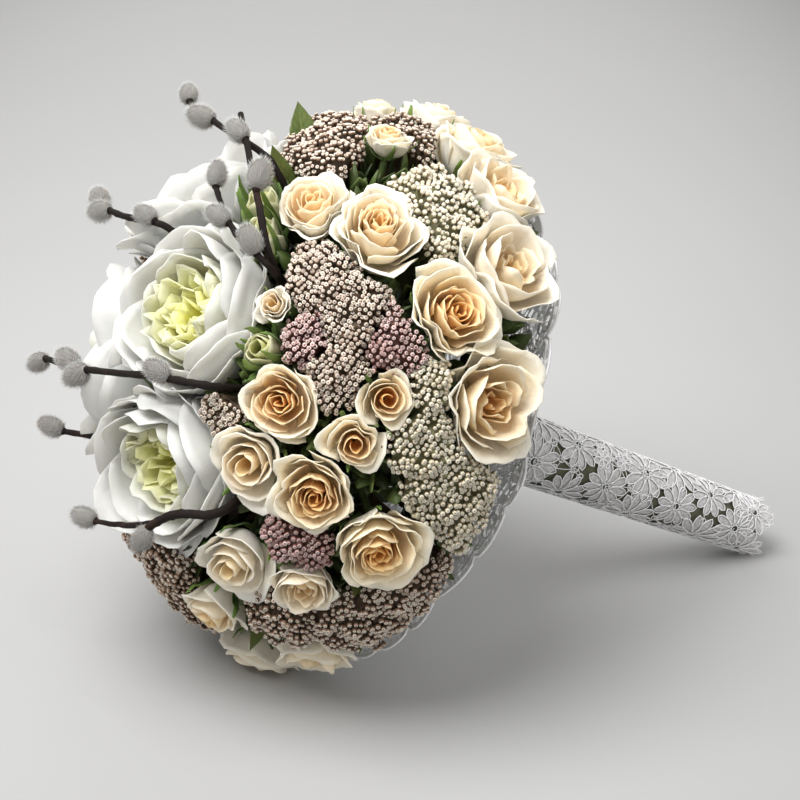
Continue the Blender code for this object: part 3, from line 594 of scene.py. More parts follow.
def garden_rose(random, count=26, heart=0.30):
    """A packed, folded heart inside broad cupped petals with rolled rims."""
    stray = random.uniform
    petals = []
    inner = int(count * 0.58)
    for i in range(inner):
        t = i / (inner - 1)
        petals.append(dict(
            turn=GOLDEN * i + stray(-14, 14), half=mixed(92, 52, t**0.7),
            wide=mixed(0.045, heart, t**0.9) * stray(0.93, 1.07), root=0.02, low=-0.5,
            tip=mixed(-0.05, 0.0, min(t / 0.4, 1.0)) - 0.03 * t**2 + stray(-0.022, 0.016),
            curl=mixed(126, 100, t) + stray(-7, 5), lip=(0.012 + 0.02 * t) * stray(0.5, 1.4), side=0.012,
            ruffle=0.010 + 0.012 * t, ring=mixed(0.0, 0.42, t), point=0.05 * (i % 3 == 0),
            spiral=mixed(0.18, 0.08, t), fineness="inner",
        ))
    outer = count - inner
    for i in range(outer):
        t = i / (outer - 1)
        petals.append(dict(
            turn=GOLDEN * (i + inner) + stray(-9, 9), half=mixed(58, 50, t) * stray(0.92, 1.08),
            wide=mixed(heart + 0.05, 0.475, t**0.8), low=mixed(-0.56, -0.66, t),
            tip=mixed(-0.02, -0.17, t**1.3) + stray(-0.02, 0.02), curl=mixed(97, 78, t) + stray(-4, 4),
            lip=mixed(0.03, 0.085, t) * stray(0.6, 1.25), side=mixed(0.02, 0.045, t),
            ruffle=0.014 + 0.012 * t, ring=mixed(0.55, 1.0, t), round=stray(0.16, 0.26), spiral=0.06,
        ))
    petals += sepals(5, 0.40, -0.74, -0.44, 60, 20, 0.03)
    return petals


def cup_rose(random, count=19):
    """An open cup: broad loose petals round a low, crumpled heart."""
    stray = random.uniform
    petals = []
    inner = count // 2
    for i in range(inner):
        t = i / (inner - 1)
        petals.append(dict(
            turn=GOLDEN * i + stray(-20, 20), half=mixed(80, 44, t), wide=mixed(0.05, 0.25, t**0.8),
            root=0.02, low=-0.5, tip=mixed(-0.15, -0.07, t) + stray(-0.035, 0.03),
            curl=mixed(116, 96, t) + stray(-8, 6), lip=0.02 * stray(-0.5, 1.4), ruffle=0.022,
            ring=mixed(0.05, 0.4, t), point=0.08 * (i % 2), spiral=0.16, fineness="inner",
        ))
    outer = count - inner
    for i in range(outer):
        t = i / (outer - 1)
        petals.append(dict(
            turn=GOLDEN * (i + inner) + stray(-9, 9), half=mixed(64, 54, t) * stray(0.92, 1.1),
            wide=mixed(0.31, 0.48, t**0.8), low=mixed(-0.56, -0.66, t),
            tip=mixed(-0.01, -0.15, t**1.4) + stray(-0.03, 0.02), curl=mixed(98, 76, t) + stray(-5, 4),
            lip=mixed(0.015, 0.07, t) * stray(0.5, 1.3), side=mixed(0.02, 0.05, t),
            ruffle=0.016 + 0.012 * t, ring=mixed(0.5, 1.0, t), round=stray(0.14, 0.28), spiral=0.06,
        ))
    petals += sepals(5, 0.40, -0.76, -0.44, 60, 20, 0.03)
    return petals


def bud_rose(random, count=13):
    """A high closed heart with a few petals folding back round it."""
    stray = random.uniform
    petals = []
    for i in range(count):
        t = i / (count - 1)
        petals.append(dict(
            turn=GOLDEN * i + stray(-20, 20), half=mixed(100, 60, t) * stray(0.86, 1.08),
            wide=mixed(0.09, 0.47, t**0.9) * stray(0.92, 1.06), root=mixed(0.02, 0.06, t),
            low=mixed(-0.55, -0.72, t), tip=mixed(0.0, -0.17, t**1.5) + stray(-0.03, 0.02),
            curl=mixed(128, 78, t**0.7) + stray(-7, 5), lip=(0.01 + 0.075 * t) * stray(0.4, 1.3),
            side=0.035 * t, ruffle=0.010 + 0.014 * t, ring=mixed(0.1, 1.0, t), spiral=mixed(0.2, 0.07, t),
        ))
    petals += sepals(5, 0.45, -0.80, -0.34, 64, 22, 0.05)
    return petals


def peony(random):
    """Broad white guards and a folded bowl round a crinkled yellow-green heart."""
    stray = random.uniform
    petals = []
    for i in range(9):
        petals.append(dict(
            turn=40 * i + stray(-7, 7), half=36 + stray(-3, 4), wide=0.485, low=-0.6,
            tip=-0.125 + stray(-0.03, 0.02), curl=74, lip=0.055 * stray(0.4, 1.3), side=0.02, ruffle=0.016,
            round=0.24,
        ))
    for i in range(7):
        petals.append(dict(
            turn=51.4 * i + 20 + stray(-8, 8), half=42 + stray(-4, 6), wide=0.445, low=-0.56,
            tip=-0.01 + stray(-0.03, 0.03), curl=93 + stray(-5, 6), lip=0.02, side=0.01, ruffle=0.014,
            ring=0.9, round=0.3,
        ))
    for i in range(6):
        petals.append(dict(
            turn=60 * i + stray(-9, 9), half=46 + stray(-4, 6), wide=0.37, low=-0.54,
            tip=0.0 + stray(-0.03, 0.02), curl=104 + stray(-6, 6), lip=0.008, ruffle=0.014, ring=0.78,
            round=0.3,
        ))
    for i in range(6):
        petals.append(dict(
            turn=60 * i + 30 + stray(-9, 9), half=48, wide=0.285, low=-0.5, tip=-0.03 + stray(-0.03, 0.02),
            curl=106, ruffle=0.02, ring=0.55, round=0.3,
        ))
    for i in range(30):
        t = (i + 0.5) / 30
        petals.append(dict(
            turn=GOLDEN * i + stray(-12, 12), half=mixed(74, 34, t**0.5), wide=mixed(0.03, 0.23, t**0.5),
            root=0.01, low=-0.46, tip=-0.13 + 0.07 * t + stray(-0.045, 0.04),
            curl=mixed(112, 94, t) + stray(-8, 8), ruffle=0.034, ring=mixed(0.0, 0.36, t), round=0.36,
            lip=0.03 * stray(-0.6, 1.2), spiral=0.15, fineness="inner",
        ))
    petals += sepals(4, 0.36, -0.64, -0.34, 60, 26, 0.04)
    return petals


def green_bud():
    """A pale bud with long green sepals wrapped round it."""
    petals = []
    for i in range(7):
        t = i / 6
        petals.append(dict(
            turn=GOLDEN * i, half=mixed(120, 80, t), wide=mixed(0.16, 0.4, t), root=0.06,
            low=-1.25, tip=mixed(-0.06, -0.22, t), curl=mixed(132, 112, t),
            ring=mixed(0.3, 0.9, t), ruffle=0.01, point=0.05, spiral=0.2,
        ))
    petals += sepals(5, 0.46, -1.4, -0.02, 108, 40, 0.02)
    petals += sepals(4, 0.5, -1.42, -0.5, 84, 30, 0.12, start=30.0)
    return petals


# How far a bloom's foot lies behind its top, and its heart before its foot, in its own width
ROWS = {"full": (0.81, 0.79), "rose": (0.87, 0.86), "peony": (0.69, 0.57), "bud": (1.53, 1.53)}
NOMINAL_REACH = 0.54


def bloom_place(node, kind):
    """Axis, top and size of a bloom, from its CAD solid's foot and heart."""
    places = corners(node)
    far = lengths(places - MIDDLE)
    foot = places[far.argmin()]
    axis = unit(foot - MIDDLE)
    side = places - MIDDLE
    off = lengths(side - np.outer(side @ axis, axis))
    central = off < 0.5 * MM
    heart = (side @ axis)[central].max()
    foot_back, span = ROWS[kind]
    size = (heart - far.min()) / span
    top = far.min() + foot_back * size
    return axis, top, size


def room_round(node, axis, top, size, first, second):
    """How far the solid reaches to each side, against a free bloom, for 36 ways round."""
    side = corners(node) - MIDDLE
    height = (side @ axis - top) / size
    across = side @ first / size
    along = side @ second / size
    reach = np.hypot(across, along)
    turn = np.degrees(np.arctan2(along, across))
    outer = (reach > 0.2) & (height > -0.6)
    room = np.empty(36)
    for i in range(36):
        apart = np.abs((turn - i * 10.0 + 180) % 360 - 180)
        near = outer & (apart < 24)
        room[i] = reach[near].max() if near.any() else NOMINAL_REACH
    room = room / NOMINAL_REACH
    return (np.roll(room, 1) + room * 2 + np.roll(room, -1)) / 4


FULLER = {
    "rose_04": 1.16, "rose_05": 1.2, "rose_06": 1.22, "rose_08": 1.2, "rose_09": 1.12, "rose_12": 1.14,
    "rose_10": 1.06, "rose_17": 1.08, "rose_18": 1.08, "rose_13": 1.08, "rose_16": 1.08, "rose_14": 1.08,
}


def place_bloom(name, shape, node, kind, spin, tone, material, random, clear=TABLE_CLEAR):
    """Sets a copy of a bloom where its solid is, pressed in where its neighbours press."""
    axis, top, size = bloom_place(node, kind)
    first, second = side_axes(axis)
    room = room_round(node, axis, top, size, first, second) * FULLER.get(node, 1.04)
    mesh = shape.copy()
    places = get_places(mesh)
    turn = math.radians(spin)
    x = places[:, 0] * math.cos(turn) - places[:, 1] * math.sin(turn)
    y = places[:, 0] * math.sin(turn) + places[:, 1] * math.cos(turn)
    angle = np.degrees(np.arctan2(y, x)) % 360
    share = np.interp(angle, np.arange(37) * 10.0, np.append(room, room[0]))
    ring = np.empty(len(places))
    mesh.attributes["ring"].data.foreach_get("value", ring)
    outer = np.clip((ring - 0.55) / 0.3, 0.0, 1.0)
    share = np.minimum(share, 1.0 + 0.3 * outer)
    share = 1.0 - (1.0 - share) * np.clip(np.hypot(x, y) / 0.3, 0.0, 1.0)
    wobble = random.uniform(-1, 1, 6) * 0.012
    z = places[:, 2] + wobble[0] * np.sin(7 * x + wobble[1] * 200) + wobble[2] * np.sin(8 * y)
    share = share * (1 + wobble[3] * np.sin(5 * z + wobble[4] * 200))
    placed = MIDDLE + np.outer(top + z * size, axis)
    placed += np.outer(x * share * size, first) + np.outer(y * share * size, second)
    set_places(mesh, lift_off_table(placed, clear))
    mark(mesh, "tone", tone)
    bloom = new_piece(name, mesh)
    hand_over(bloom, [node], material)


# Rice flower


def bead_shape():
    """A small knob, six-sided, with a dimple on top: from -1 to 1 up and 1 wide."""
    mesh = take_mesh(primitive(bpy.ops.mesh.primitive_uv_sphere_add, segments=6, ring_count=3, radius=1.0))
    places = get_places(mesh)
    off_pole = np.hypot(places[:, 0], places[:, 1]) > 0.1
    places[places[:, 2] > 0.9, 2] = 0.2
    shoulder = (places[:, 2] > 0.3) & off_pole
    places[shoulder, 2] = 0.72
    places[shoulder, :2] *= 0.80
    waist = (places[:, 2] < -0.3) & off_pole
    places[waist, 2] = -0.25
    places[waist, :2] *= 1.15
    set_places(mesh, places)
    return mesh


def frames_along(ways, random):
    """Two ways across each given way, turned by chance."""
    first = np.cross(ways, FAR + 0.013 * TOP)
    first = units(first)
    second = np.cross(ways, first)
    turn = random.uniform(0, 2 * math.pi, len(ways))[:, None]
    return first * np.cos(turn) + second * np.sin(turn), second * np.cos(turn) - first * np.sin(turn)


BEAD_PITCH = 2.35 * MM
BEAD_RADIUS = 1.33 * MM
STALK_RADIUS = 0.36 * MM
LUMP_RISE = 2.2 * MM
CORE_DEPTH = 3.4 * MM
SHOWN_STALKS = 0.45
LUMP_PITCH = 10.0 * MM
# Beads round the edge of a head, row by row: how far out and how far down, in millimetres
EDGE_ROWS = ((1.5, 2.3), (2.2, 4.9), (2.0, 7.4))


def all_ways(random):
    """Evenly spread ways out from the middle, one bead's pitch apart at the dome."""
    count = int(4 * math.pi * DOME_RADIUS * DOME_DEPTH / BEAD_PITCH**2 / 0.9)
    index = np.arange(count) + 0.5
    height = 1.0 - 2.0 * index / count
    turn = np.radians(GOLDEN) * index
    flat = np.sqrt(1.0 - height**2)
    ways = np.column_stack((flat * np.cos(turn), flat * np.sin(turn), height))
    ways += random.normal(0, 0.0022, ways.shape)
    return units(ways)


def merged_copy(node, name):
    """A copy of a CAD node's mesh with its loose triangles joined up."""
    copy = NODES[node].data.copy()
    merge_corners(copy, 0.00002)
    copy.name = name
    return copy


def near_mean(spots, values, reach):
    """Each place's value averaged over its neighbours."""
    apart = np.linalg.norm(spots[:, None] - spots[None], axis=2)
    weight = np.exp(-((apart / reach) ** 2))
    return ((weight @ values).T / weight.sum(1)).T


def lumps(spots, random):
    """Small umbels over a head: how far up each place is, from -1 between them to 1."""
    centres = []
    for spot in spots[random.permutation(len(spots))]:
        if all(np.linalg.norm(spot - other) > LUMP_PITCH for other in centres):
            centres.append(spot)
    apart = np.linalg.norm(spots[:, None] - np.array(centres)[None], axis=2)
    nearest = apart.argmin(1)
    rise = 1.0 - 2.0 * (apart.min(1) / (0.62 * LUMP_PITCH)) ** 2
    return np.maximum(rise, -1.2), nearest, random.random(len(centres))


def surface_hits(places, faces, ways, mean, widest):
    """Where ways out from the middle leave a head's solid, and how square to it."""
    tree = BVHTree.FromPolygons([tuple(place) for place in places], faces)
    hits = []
    for aim in ways[ways @ mean > widest]:
        spot, normal, _, _ = tree.ray_cast(Vector(MIDDLE + aim * 0.19), Vector(-aim), 0.12)
        if spot is not None and normal.dot(Vector(aim)) > 0.12:
            hits.append((*spot, *aim))
    hits = np.array(hits)
    return hits[:, 0:3], hits[:, 3:6]


def breadth(shape, first, second):
    """How far a small shape's corners lie across, for many copies."""
    return shape[None, :, 0:1] * first[:, None] + shape[None, :, 1:2] * second[:, None]


def lifted(copies):
    return lift_off_table(copies.reshape(-1, 3)).reshape(copies.shape)


def rice_flower(node, ways, bead, stalk, material, random):
    """Dimpled beads in small domed umbels over a dark core, on thin stalks."""
    core_mesh = merged_copy(node, node + "_core")
    places = get_places(core_mesh)
    out = places - MIDDLE
    far = lengths(out)
    aims = out / far[:, None]
    mean = unit(aims.sum(0))
    faces = [tuple(face.vertices) for face in core_mesh.polygons]
    spots, aims = surface_hits(places, faces, ways, mean, (aims @ mean).min())
    reach = near_mean(spots, lengths(spots - MIDDLE), 5 * MM)
    spots = MIDDLE + aims * reach[:, None]
    rise, umbel, shade = lumps(spots, random)
    apart = np.linalg.norm(spots[:, None] - spots[None], axis=2)
    crowd = (apart < 6.5 * MM).sum(1)
    pull = spots - near_mean(spots, spots, 7 * MM)
    edge = crowd < 0.72 * np.median(crowd)
    outward = pull[edge] / np.maximum(lengths(pull[edge]), 1e-6)[:, None]
    rise[edge] -= 0.5
    rows = [spots + aims * (rise * LUMP_RISE)[:, None]]
    leans = [aims]
    groups = [umbel]
    for step, drop in EDGE_ROWS:
        keep = random.random(edge.sum()) < 0.8
        side = spots[edge][keep] + outward[keep] * step * MM
        rows.append(side - aims[edge][keep] * (drop + random.uniform(-0.7, 0.7, keep.sum())[:, None]) * MM)
        leans.append(aims[edge][keep] + outward[keep] * 0.6)
        groups.append(umbel[edge][keep])
    centres = np.vstack(rows)
    aims = centres - MIDDLE
    aims = units(aims)
    lean = np.vstack(leans) + random.normal(0, 0.18, centres.shape)
    lean = units(lean)
    centres = centres + random.normal(0, 0.22 * MM, centres.shape)
    count = len(centres)
    first, second = frames_along(lean, random)
    size = BEAD_RADIUS * random.uniform(0.8, 1.12, count)[:, None, None]
    shape = get_places(bead)
    grown = breadth(shape, first, second) + shape[None, :, 2:3] * lean[:, None] * 1.05
    beads = lifted(centres[:, None] + grown * size)
    along = np.broadcast_to((shape[:, 2] + 1) / 2, (count, len(shape)))
    tone = np.clip(shade[np.concatenate(groups)] * 0.6 + random.random(count) * 0.5, 0, 1)
    tone = np.broadcast_to(tone[:, None], along.shape)
    heads = many_copies("beads", bead, beads, {"along": along, "tone": tone})
    shape = get_places(stalk)
    shown = (np.arange(count) >= len(spots)) | (random.random(count) < SHOWN_STALKS)
    shown[: len(spots)] |= edge
    drop = (centres - aims * 10 * MM)[shown]
    drop = drop + (MIDDLE + mean * (drop - MIDDLE).dot(mean)[:, None] - drop) * 0.1
    stems = centres[shown, None] * shape[None, :, 2:3] + drop[:, None] * (1 - shape[None, :, 2:3])
    stems = lifted(stems + STALK_RADIUS * breadth(shape, first[shown], second[shown]))
    along = np.broadcast_to(shape[:, 2] * 0.3, (len(stems), len(shape)))
    stalks = many_copies("stalks", stalk, stems, {"along": along, "tone": 0.5 + along * 0})
    places = MIDDLE + out * (1 - CORE_DEPTH / far)[:, None]
    centre = MIDDLE + mean * ((places - MIDDLE) @ mean)[:, None]
    set_places(core_mesh, lift_off_table(places + (centre - places) * 0.06))
    core = new_piece("core", core_mesh)
    mark(core_mesh, "along", -0.2)
    mark(core_mesh, "tone", 0.3)
    hand_over(join([heads, stalks, core], node + "_flowers"), [node], material)


def stalk_shape():
    """A three-sided stalk, one long."""
    add = bpy.ops.mesh.primitive_cylinder_add
    return take_mesh(primitive(add, vertices=3, radius=1.0, depth=1.0, location=(0, 0, 0.5)))


# Tubes, cords and sheets wound round the axis


def cords(name, routes, thickness, sides=6, closed=False, radii=None):
    """Round cords along routes, made as curves and turned into a mesh."""
    curve = bpy.data.curves.new(name, "CURVE")
    curve.dimensions = "3D"
    curve.bevel_depth = thickness
    curve.bevel_resolution = max((sides - 4) // 2, 0)
    curve.use_fill_caps = True
    for number, route in enumerate(routes):
        spline = curve.splines.new("POLY")
        spline.points.add(len(route) - 1)
        flat = np.column_stack((np.asarray(route), np.ones(len(route))))
        spline.points.foreach_set("co", flat.ravel())
        if radii is not None:
            spline.points.foreach_set("radius", np.asarray(radii[number], float))
        spline.use_cyclic_u = closed
    cord = new_piece(name, curve)
    deselect()
    cord.select_set(True)
    bpy.context.view_layer.objects.active = cord
    bpy.ops.object.convert(target="MESH")
    cord = bpy.context.view_layer.objects.active
    if cord.data.uv_layers:
        cord.data.uv_layers[0].name = "UVMap"
    smooth(cord)
    return cord


def smooth_route(points, steps):
    """Points of a smooth curve through the given ones."""
    points = [np.asarray(point, float) for point in points]
    ends = [2 * points[0] - points[1]] + points + [2 * points[-1] - points[-2]]
    route = []
    for i in range(len(points) - 1):
        a, b, c, d = ends[i : i + 4]
        for k in range(steps):
            t = k / steps
            bend = 2 * b + (c - a) * t + (2 * a - 5 * b + 4 * c - d) * t * t
            route.append((bend + (3 * b - a - 3 * c + d) * t**3) / 2)
    return route + [points[-1]]


def along_route(route, share):
    """Point and direction at a share of a route's length."""
    steps = [np.linalg.norm(b - a) for a, b in zip(route, route[1:])]
    left = share * sum(steps)
    for a, b, length in zip(route, route[1:], steps):
        if left <= length:
            return a + (b - a) * left / length, unit(b - a)
        left -= length
    return route[-1], unit(route[-1] - route[-2])


def grid_sheet(name, columns, rows):
    """A flat sheet of columns by rows, from 0 to 1 both ways."""
    sheet = primitive(
        bpy.ops.mesh.primitive_grid_add, x_subdivisions=columns, y_subdivisions=rows, size=1,
        location=(0.5, 0.5, 0), calc_uvs=True,
    )
    sheet.name = sheet.data.name = name
    return sheet


def close_seam(piece):
    """Joins the two edges of a sheet that meet, and turns its faces outwards."""
    merge_corners(piece.data, 0.00001, outwards=True)


def round_axis(around, back, reach):
    """Places at these angles, this far behind the middle and from the axis."""
    turn = np.radians(around)
    out = np.cos(turn)[:, None] * TOP + np.sin(turn)[:, None] * FAR
    return MIDDLE - np.asarray(back)[:, None] * CROWN + np.asarray(reach)[:, None] * out


# Willow

# Where each twig leaves the dome, its branches as turn, tilt and millimetres from the middle,
# and its catkins as branch, share of the branch's length and side
TWIGS = {
    "willow_1": (
        (352.2, 47.3),
        ((None, (13, 43, 142), (36, 47, 160)),),
        ((0, 1.0, 1), (0, 0.62, -1)),
    ),
    "willow_2": (
        (311.4, 42.1),
        ((None, (334, 41, 140), (5, 45, 150)), (None, (324, 35, 136), (350, 34, 140))),
        ((0, 0.8, -1), (0, 0.42, 1), (1, 0.9, 1), (1, 0.5, -1), (1, 0.15, 1)),
    ),
    "willow_3": (
        (27.0, 23.5),
        ((None, (50, 24, 134), (70, 34, 150)),),
        ((0, 0.95, 1), (0, 0.78, -1), (0, 0.14, 1)),
    ),
    "willow_4": (
        (269.6, 38.2),
        ((None, (258, 24, 132), (180, 14, 132), (132, 28, 149)),),
        ((0, 0.96, -1), (0, 0.72, 1), (0, 0.64, -1), (0, 0.18, 1)),
    ),
    "willow_5": (
        (186.5, 15.5),
        (((186.5, 15.5, 92), (182, 28, 98), (164, 36, 116), (150, 39, 143)),),
        ((0, 0.96, 1),),
    ),
    "willow_6": (
        (240.6, 54.0),
        ((None, (233, 47, 138), (222, 46, 143)), ((231, 47, 138), (215, 45, 139), (194, 43, 143))),
        ((0, 1.0, -1), (1, 0.97, 1)),
    ),
}
TWIG_FOOT = 68 * MM
TWIG_OUT = 4 * MM
CUT_TWIG = "willow_6"
CUT_TWIG_RADIUS = 2.7 * MM
PLAIN_TWIG_RADIUS = 2.0 * MM
SIDE_TWIG_RADIUS = 1.65 * MM
BEND_SOFTENING = 14
KNOT_PITCH = 13 * MM
CATKIN_LENGTH = 14 * MM
CATKIN_WIDTH = 10.4 * MM
CATKIN_HAIRS = 520
HAIR_RADIUS = 0.011


def catkin_shape(random):
    """A silky egg with hairs that lie towards its tip, one long."""
    add = bpy.ops.mesh.primitive_uv_sphere_add
    egg = primitive(add, segments=12, ring_count=9, radius=0.5, location=(0, 0, 0.5))
    places = get_places(egg.data)
    wide = CATKIN_WIDTH / CATKIN_LENGTH * 0.86
    places[:, :2] *= wide * (1.0 + 0.18 * (0.5 - places[:, 2:]))
    set_places(egg.data, places)
    # The egg takes the dark root colour: painted shade under the hairs.
    mark(egg.data, "along", 0.15)
    smooth(egg)
    add = bpy.ops.mesh.primitive_cone_add
    hair = take_mesh(primitive(add, vertices=3, radius1=1.0, radius2=0.0, depth=1.0, location=(0, 0, 0.5)))
    shape = get_places(hair)
    index = np.arange(CATKIN_HAIRS) + 0.5
    height = 0.98 - 1.9 * index / CATKIN_HAIRS
    turn = np.radians(GOLDEN) * index
    flat = np.sqrt(np.maximum(1.0 - height**2, 0.0))
    x, y = flat * np.cos(turn), flat * np.sin(turn)
    swell = wide / 2 * (1.0 - 0.18 * height / 2)
    root = np.column_stack((x * swell, y * swell, 0.5 + height / 2))
    lie = np.column_stack((x, y, height * 0.7)) * 0.8 + np.array((0, 0, 0.6))
    lie = units(lie + random.normal(0, 0.16, root.shape))
    first = units(np.cross(lie, (0.3, 0.9, 0.1)))
    length = random.uniform(0.13, 0.24, CATKIN_HAIRS)[:, None, None]
    grown = shape[None, :, 2:3] * lie[:, None] * length
    grown = grown + HAIR_RADIUS * breadth(shape, first, np.cross(lie, first)) + root[:, None]
    along = np.broadcast_to(0.25 + 0.75 * shape[:, 2], grown.shape[:2])
    return take_mesh(join([egg, many_copies("fur", hair, grown, {"along": along})], "catkin"))


def placed_copy(name, shape, start, axis, first, length, width=None):
    """A copy of a shape that stands along its own Z, set along an axis."""
    width = width or length
    mesh = shape.copy()
    second = np.cross(axis, first)
    set_places(mesh, stand(get_places(mesh), start, axis, length, first, width, second, width))
    return new_piece(name, mesh)


def scale_shape():
    """The dark bud scale that holds a catkin's foot."""
    add = bpy.ops.mesh.primitive_uv_sphere_add
    scale = primitive(add, segments=10, ring_count=6, radius=0.5, location=(0, 0, 0.18))
    places = get_places(scale.data)
    places[:, :2] *= 0.62
    places[:, 2] = places[:, 2] * 0.62 + np.where(places[:, 0] > 0, 0.12 * np.maximum(places[:, 2], 0), 0)
    set_places(scale.data, places)
    mark(scale.data, "cut", 0.0)
    smooth(scale)
    return take_mesh(scale)


def willow(node, catkin, scale, bark, fur, random):
    """A bark-covered twig with knots, bud scales and silver catkins."""
    foot, branches, catkins = TWIGS[node]
    direction = way(*foot)
    leaving = MIDDLE + direction * (dome_reach(direction) + TWIG_OUT)
    size = CUT_TWIG_RADIUS if node == CUT_TWIG else PLAIN_TWIG_RADIUS
    routes = []
    tubes = []
    for number, branch in enumerate(branches):
        points = [MIDDLE + way(p[0], p[1]) * p[2] * MM if p else leaving for p in branch]
        route = smooth_route(points, 2)
        routes.append(route)
        fine = smooth_route(route, 5)
        if branch[0] is None:
            root = TWIG_FOOT if number == 0 else dome_reach(direction) - 6 * MM
            fine = smooth_route([MIDDLE + direction * root, fine[0]], 8)[:-1] + fine
        fine = np.array(fine)
        for _ in range(BEND_SOFTENING):
            fine[1:-1] = (fine[:-2] + 2 * fine[1:-1] + fine[2:]) / 4
        steps = np.concatenate(([0.0], np.cumsum(lengths(np.diff(fine, axis=0)))))
        share = steps / steps[-1]
        thick = (size if number == 0 else SIDE_TWIG_RADIUS) * (1.0 - 0.3 * share)
        knots = np.maximum(np.cos(2 * np.pi * steps / KNOT_PITCH + random.uniform(0, 6)), 0) ** 12
        fine += random.normal(0, 0.12 * MM, fine.shape)
        tubes.append(cords("twig", [fine], 1.0, 10, radii=[thick * (1 + 0.16 * knots)]))
    for tube in tubes:
        ends = lengths(get_places(tube.data) - routes[0][-1]) < 2.2 * MM
        mark(tube.data, "cut", ends * float(node == CUT_TWIG))
    silks = []
    scales = []
    for number, share, side in catkins:
        point, along = along_route(routes[number], min(share, 0.97))
        outward = unit(point - MIDDLE)
        out = unit(unit(np.cross(along, outward)) * side + 0.6 * outward)
        axis = unit(along + 0.55 * out)
        start = point - along * 1.2 * MM
        first = unit(np.cross(axis, random.normal(0, 1, 3)))
        length = CATKIN_LENGTH * random.uniform(0.9, 1.1)
        silks.append(placed_copy("catkin", catkin, start, axis, first, length))
        scales.append(placed_copy("scale", scale, start - axis * 0.2 * MM, axis, first, 5.2 * MM, 6.4 * MM))
    hand_over(join(tubes + scales, node + "_twig"), [node], bark)
    hand_over(join(silks, node + "_catkins"), [node], fur)


# Leaves and stems

# Turn and tilt of each leaf between the flowers, its width and how far it stands proud, in millimetres
LEAVES = (
    ((22.8, 63.2), 15, 8), ((3.0, 48.5), 12, 4), ((265.5, 74.8), 12, -4),
    ((242.5, 83.9), 12, -4), ((205.0, 83.0), 12, -2), ((66.1, 83.8), 13, 2),
)
LEAF_LENGTH = 36 * MM


def leaf_shape():
    """A toothed, folded leaf with raised side veins, one long."""
    leaf = grid_sheet("leaf", 14, 26)
    flat = get_places(leaf.data)
    u = flat[:, 0] * 2 - 1
    v = flat[:, 1]
    teeth = 1.0 + 0.09 * ((v * 9) % 1.0 - 0.5) * (np.abs(u) > 0.95)
    half = 0.5 * np.sin(np.pi * np.clip(v, 0.001, 0.999) ** 0.85) * teeth
    x = u * half
    veins = np.sin((v * 9 - np.abs(u) * 1.6) * 2 * math.pi)
    lift = np.abs(u) * 0.16 * half + 0.012 * veins * (1 - np.abs(u)) * np.sin(np.pi * v)
    lift = lift + 0.05 * np.sin(v * 3.1) ** 2 + 0.01 * np.sin(v * 23) * np.abs(u)
    set_places(leaf.data, np.column_stack((x, lift, v)))
    mark(leaf.data, "vein", np.clip((veins - 0.55) * 1.6, 0, 1) * (np.abs(u) < 0.95) + (np.abs(u) < 0.08))
    mark(leaf.data, "along", v)
    thicken(leaf, 0.012)
    close_seam(leaf)
    smooth(leaf)
    return take_mesh(leaf)


def feet(node):
    """Where a node's flowers sit on their stems."""
    side = corners(node) - MIDDLE
    far = lengths(side)
    found = []
    for index in np.argsort(far):
        if far[index] > far.min() + 3 * MM:
            break
        aim = side[index] / far[index]
        if all(aim @ other < math.cos(math.radians(6)) for other, _ in found):
            found.append((aim, far[index]))
    return found


UNDERGROWTH = 3700
DEEP_LEAVES = 440


def bloom_cones():
    """Axis and cosine of the half angle of each bloom, seen from the middle."""
    cones = []
    for node in NODES:
        if node.startswith(("rose", "peony", "bud")):
            side = corners(node) - MIDDLE
            side = units(side)
            axis = unit(side.sum(0))
            share = 0.86 if node.startswith("peony") else 0.76
            cones.append((axis, math.cos(math.acos((side @ axis).min()) * share)))
    return cones


def spread_ways(count, span, first=0.5):
    """Evenly spread ways out, from the crown over this span of heights."""
    for number in range(count):
        height = 1.0 - span * (number + 0.5) / count
        yield way((number + first) * GOLDEN % 360, math.degrees(math.acos(height)))


def undergrowth(leaf, random):
    """Small dark leaves on the stems under the flowers, which close the gaps between them."""
    cones = bloom_cones()
    shape = get_places(leaf)
    grown = []
    for aim in spread_ways(UNDERGROWTH, 1.22):
        if any(aim @ axis > narrow for axis, narrow in cones):
            continue
        lean = unit(aim + random.normal(0, 0.2, 3))
        tip = MIDDLE + aim * (dome_reach(aim) - random.uniform(9, 26) * MM)
        length = random.uniform(14, 23) * MM
        first = unit(np.cross(lean, random.normal(0, 1, 3)))
        wide = random.uniform(7.5, 11.5) * MM
        second = np.cross(lean, first)
        grown.append(stand(shape, tip - lean * length, lean, length, first, wide, second, wide))
    for aim in spread_ways(DEEP_LEAVES, 1.3, 0.0):
        first, second = side_axes(aim)
        turn = random.uniform(0, 2 * math.pi)
        lean = unit(first * math.cos(turn) + second * math.sin(turn) + 0.3 * aim)
        length = random.uniform(26, 34) * MM
        start = MIDDLE + aim * random.uniform(46, 60) * MM - 0.5 * length * lean
        grown.append(stand(shape, start, lean, length, np.cross(lean, aim), 16 * MM, aim, 10 * MM))
    grown = np.array(grown)
    grown = lift_off_table(grown.reshape(-1, 3), 1.5 * MM).reshape(grown.shape)
    along = np.broadcast_to(shape[:, 2], grown.shape[:2])
    tone = np.broadcast_to(random.uniform(0.0, 0.6, len(grown))[:, None], grown.shape[:2])
    return many_copies("undergrowth", leaf, grown, {"along": along, "tone": tone, "vein": along * 0 + 0.2})


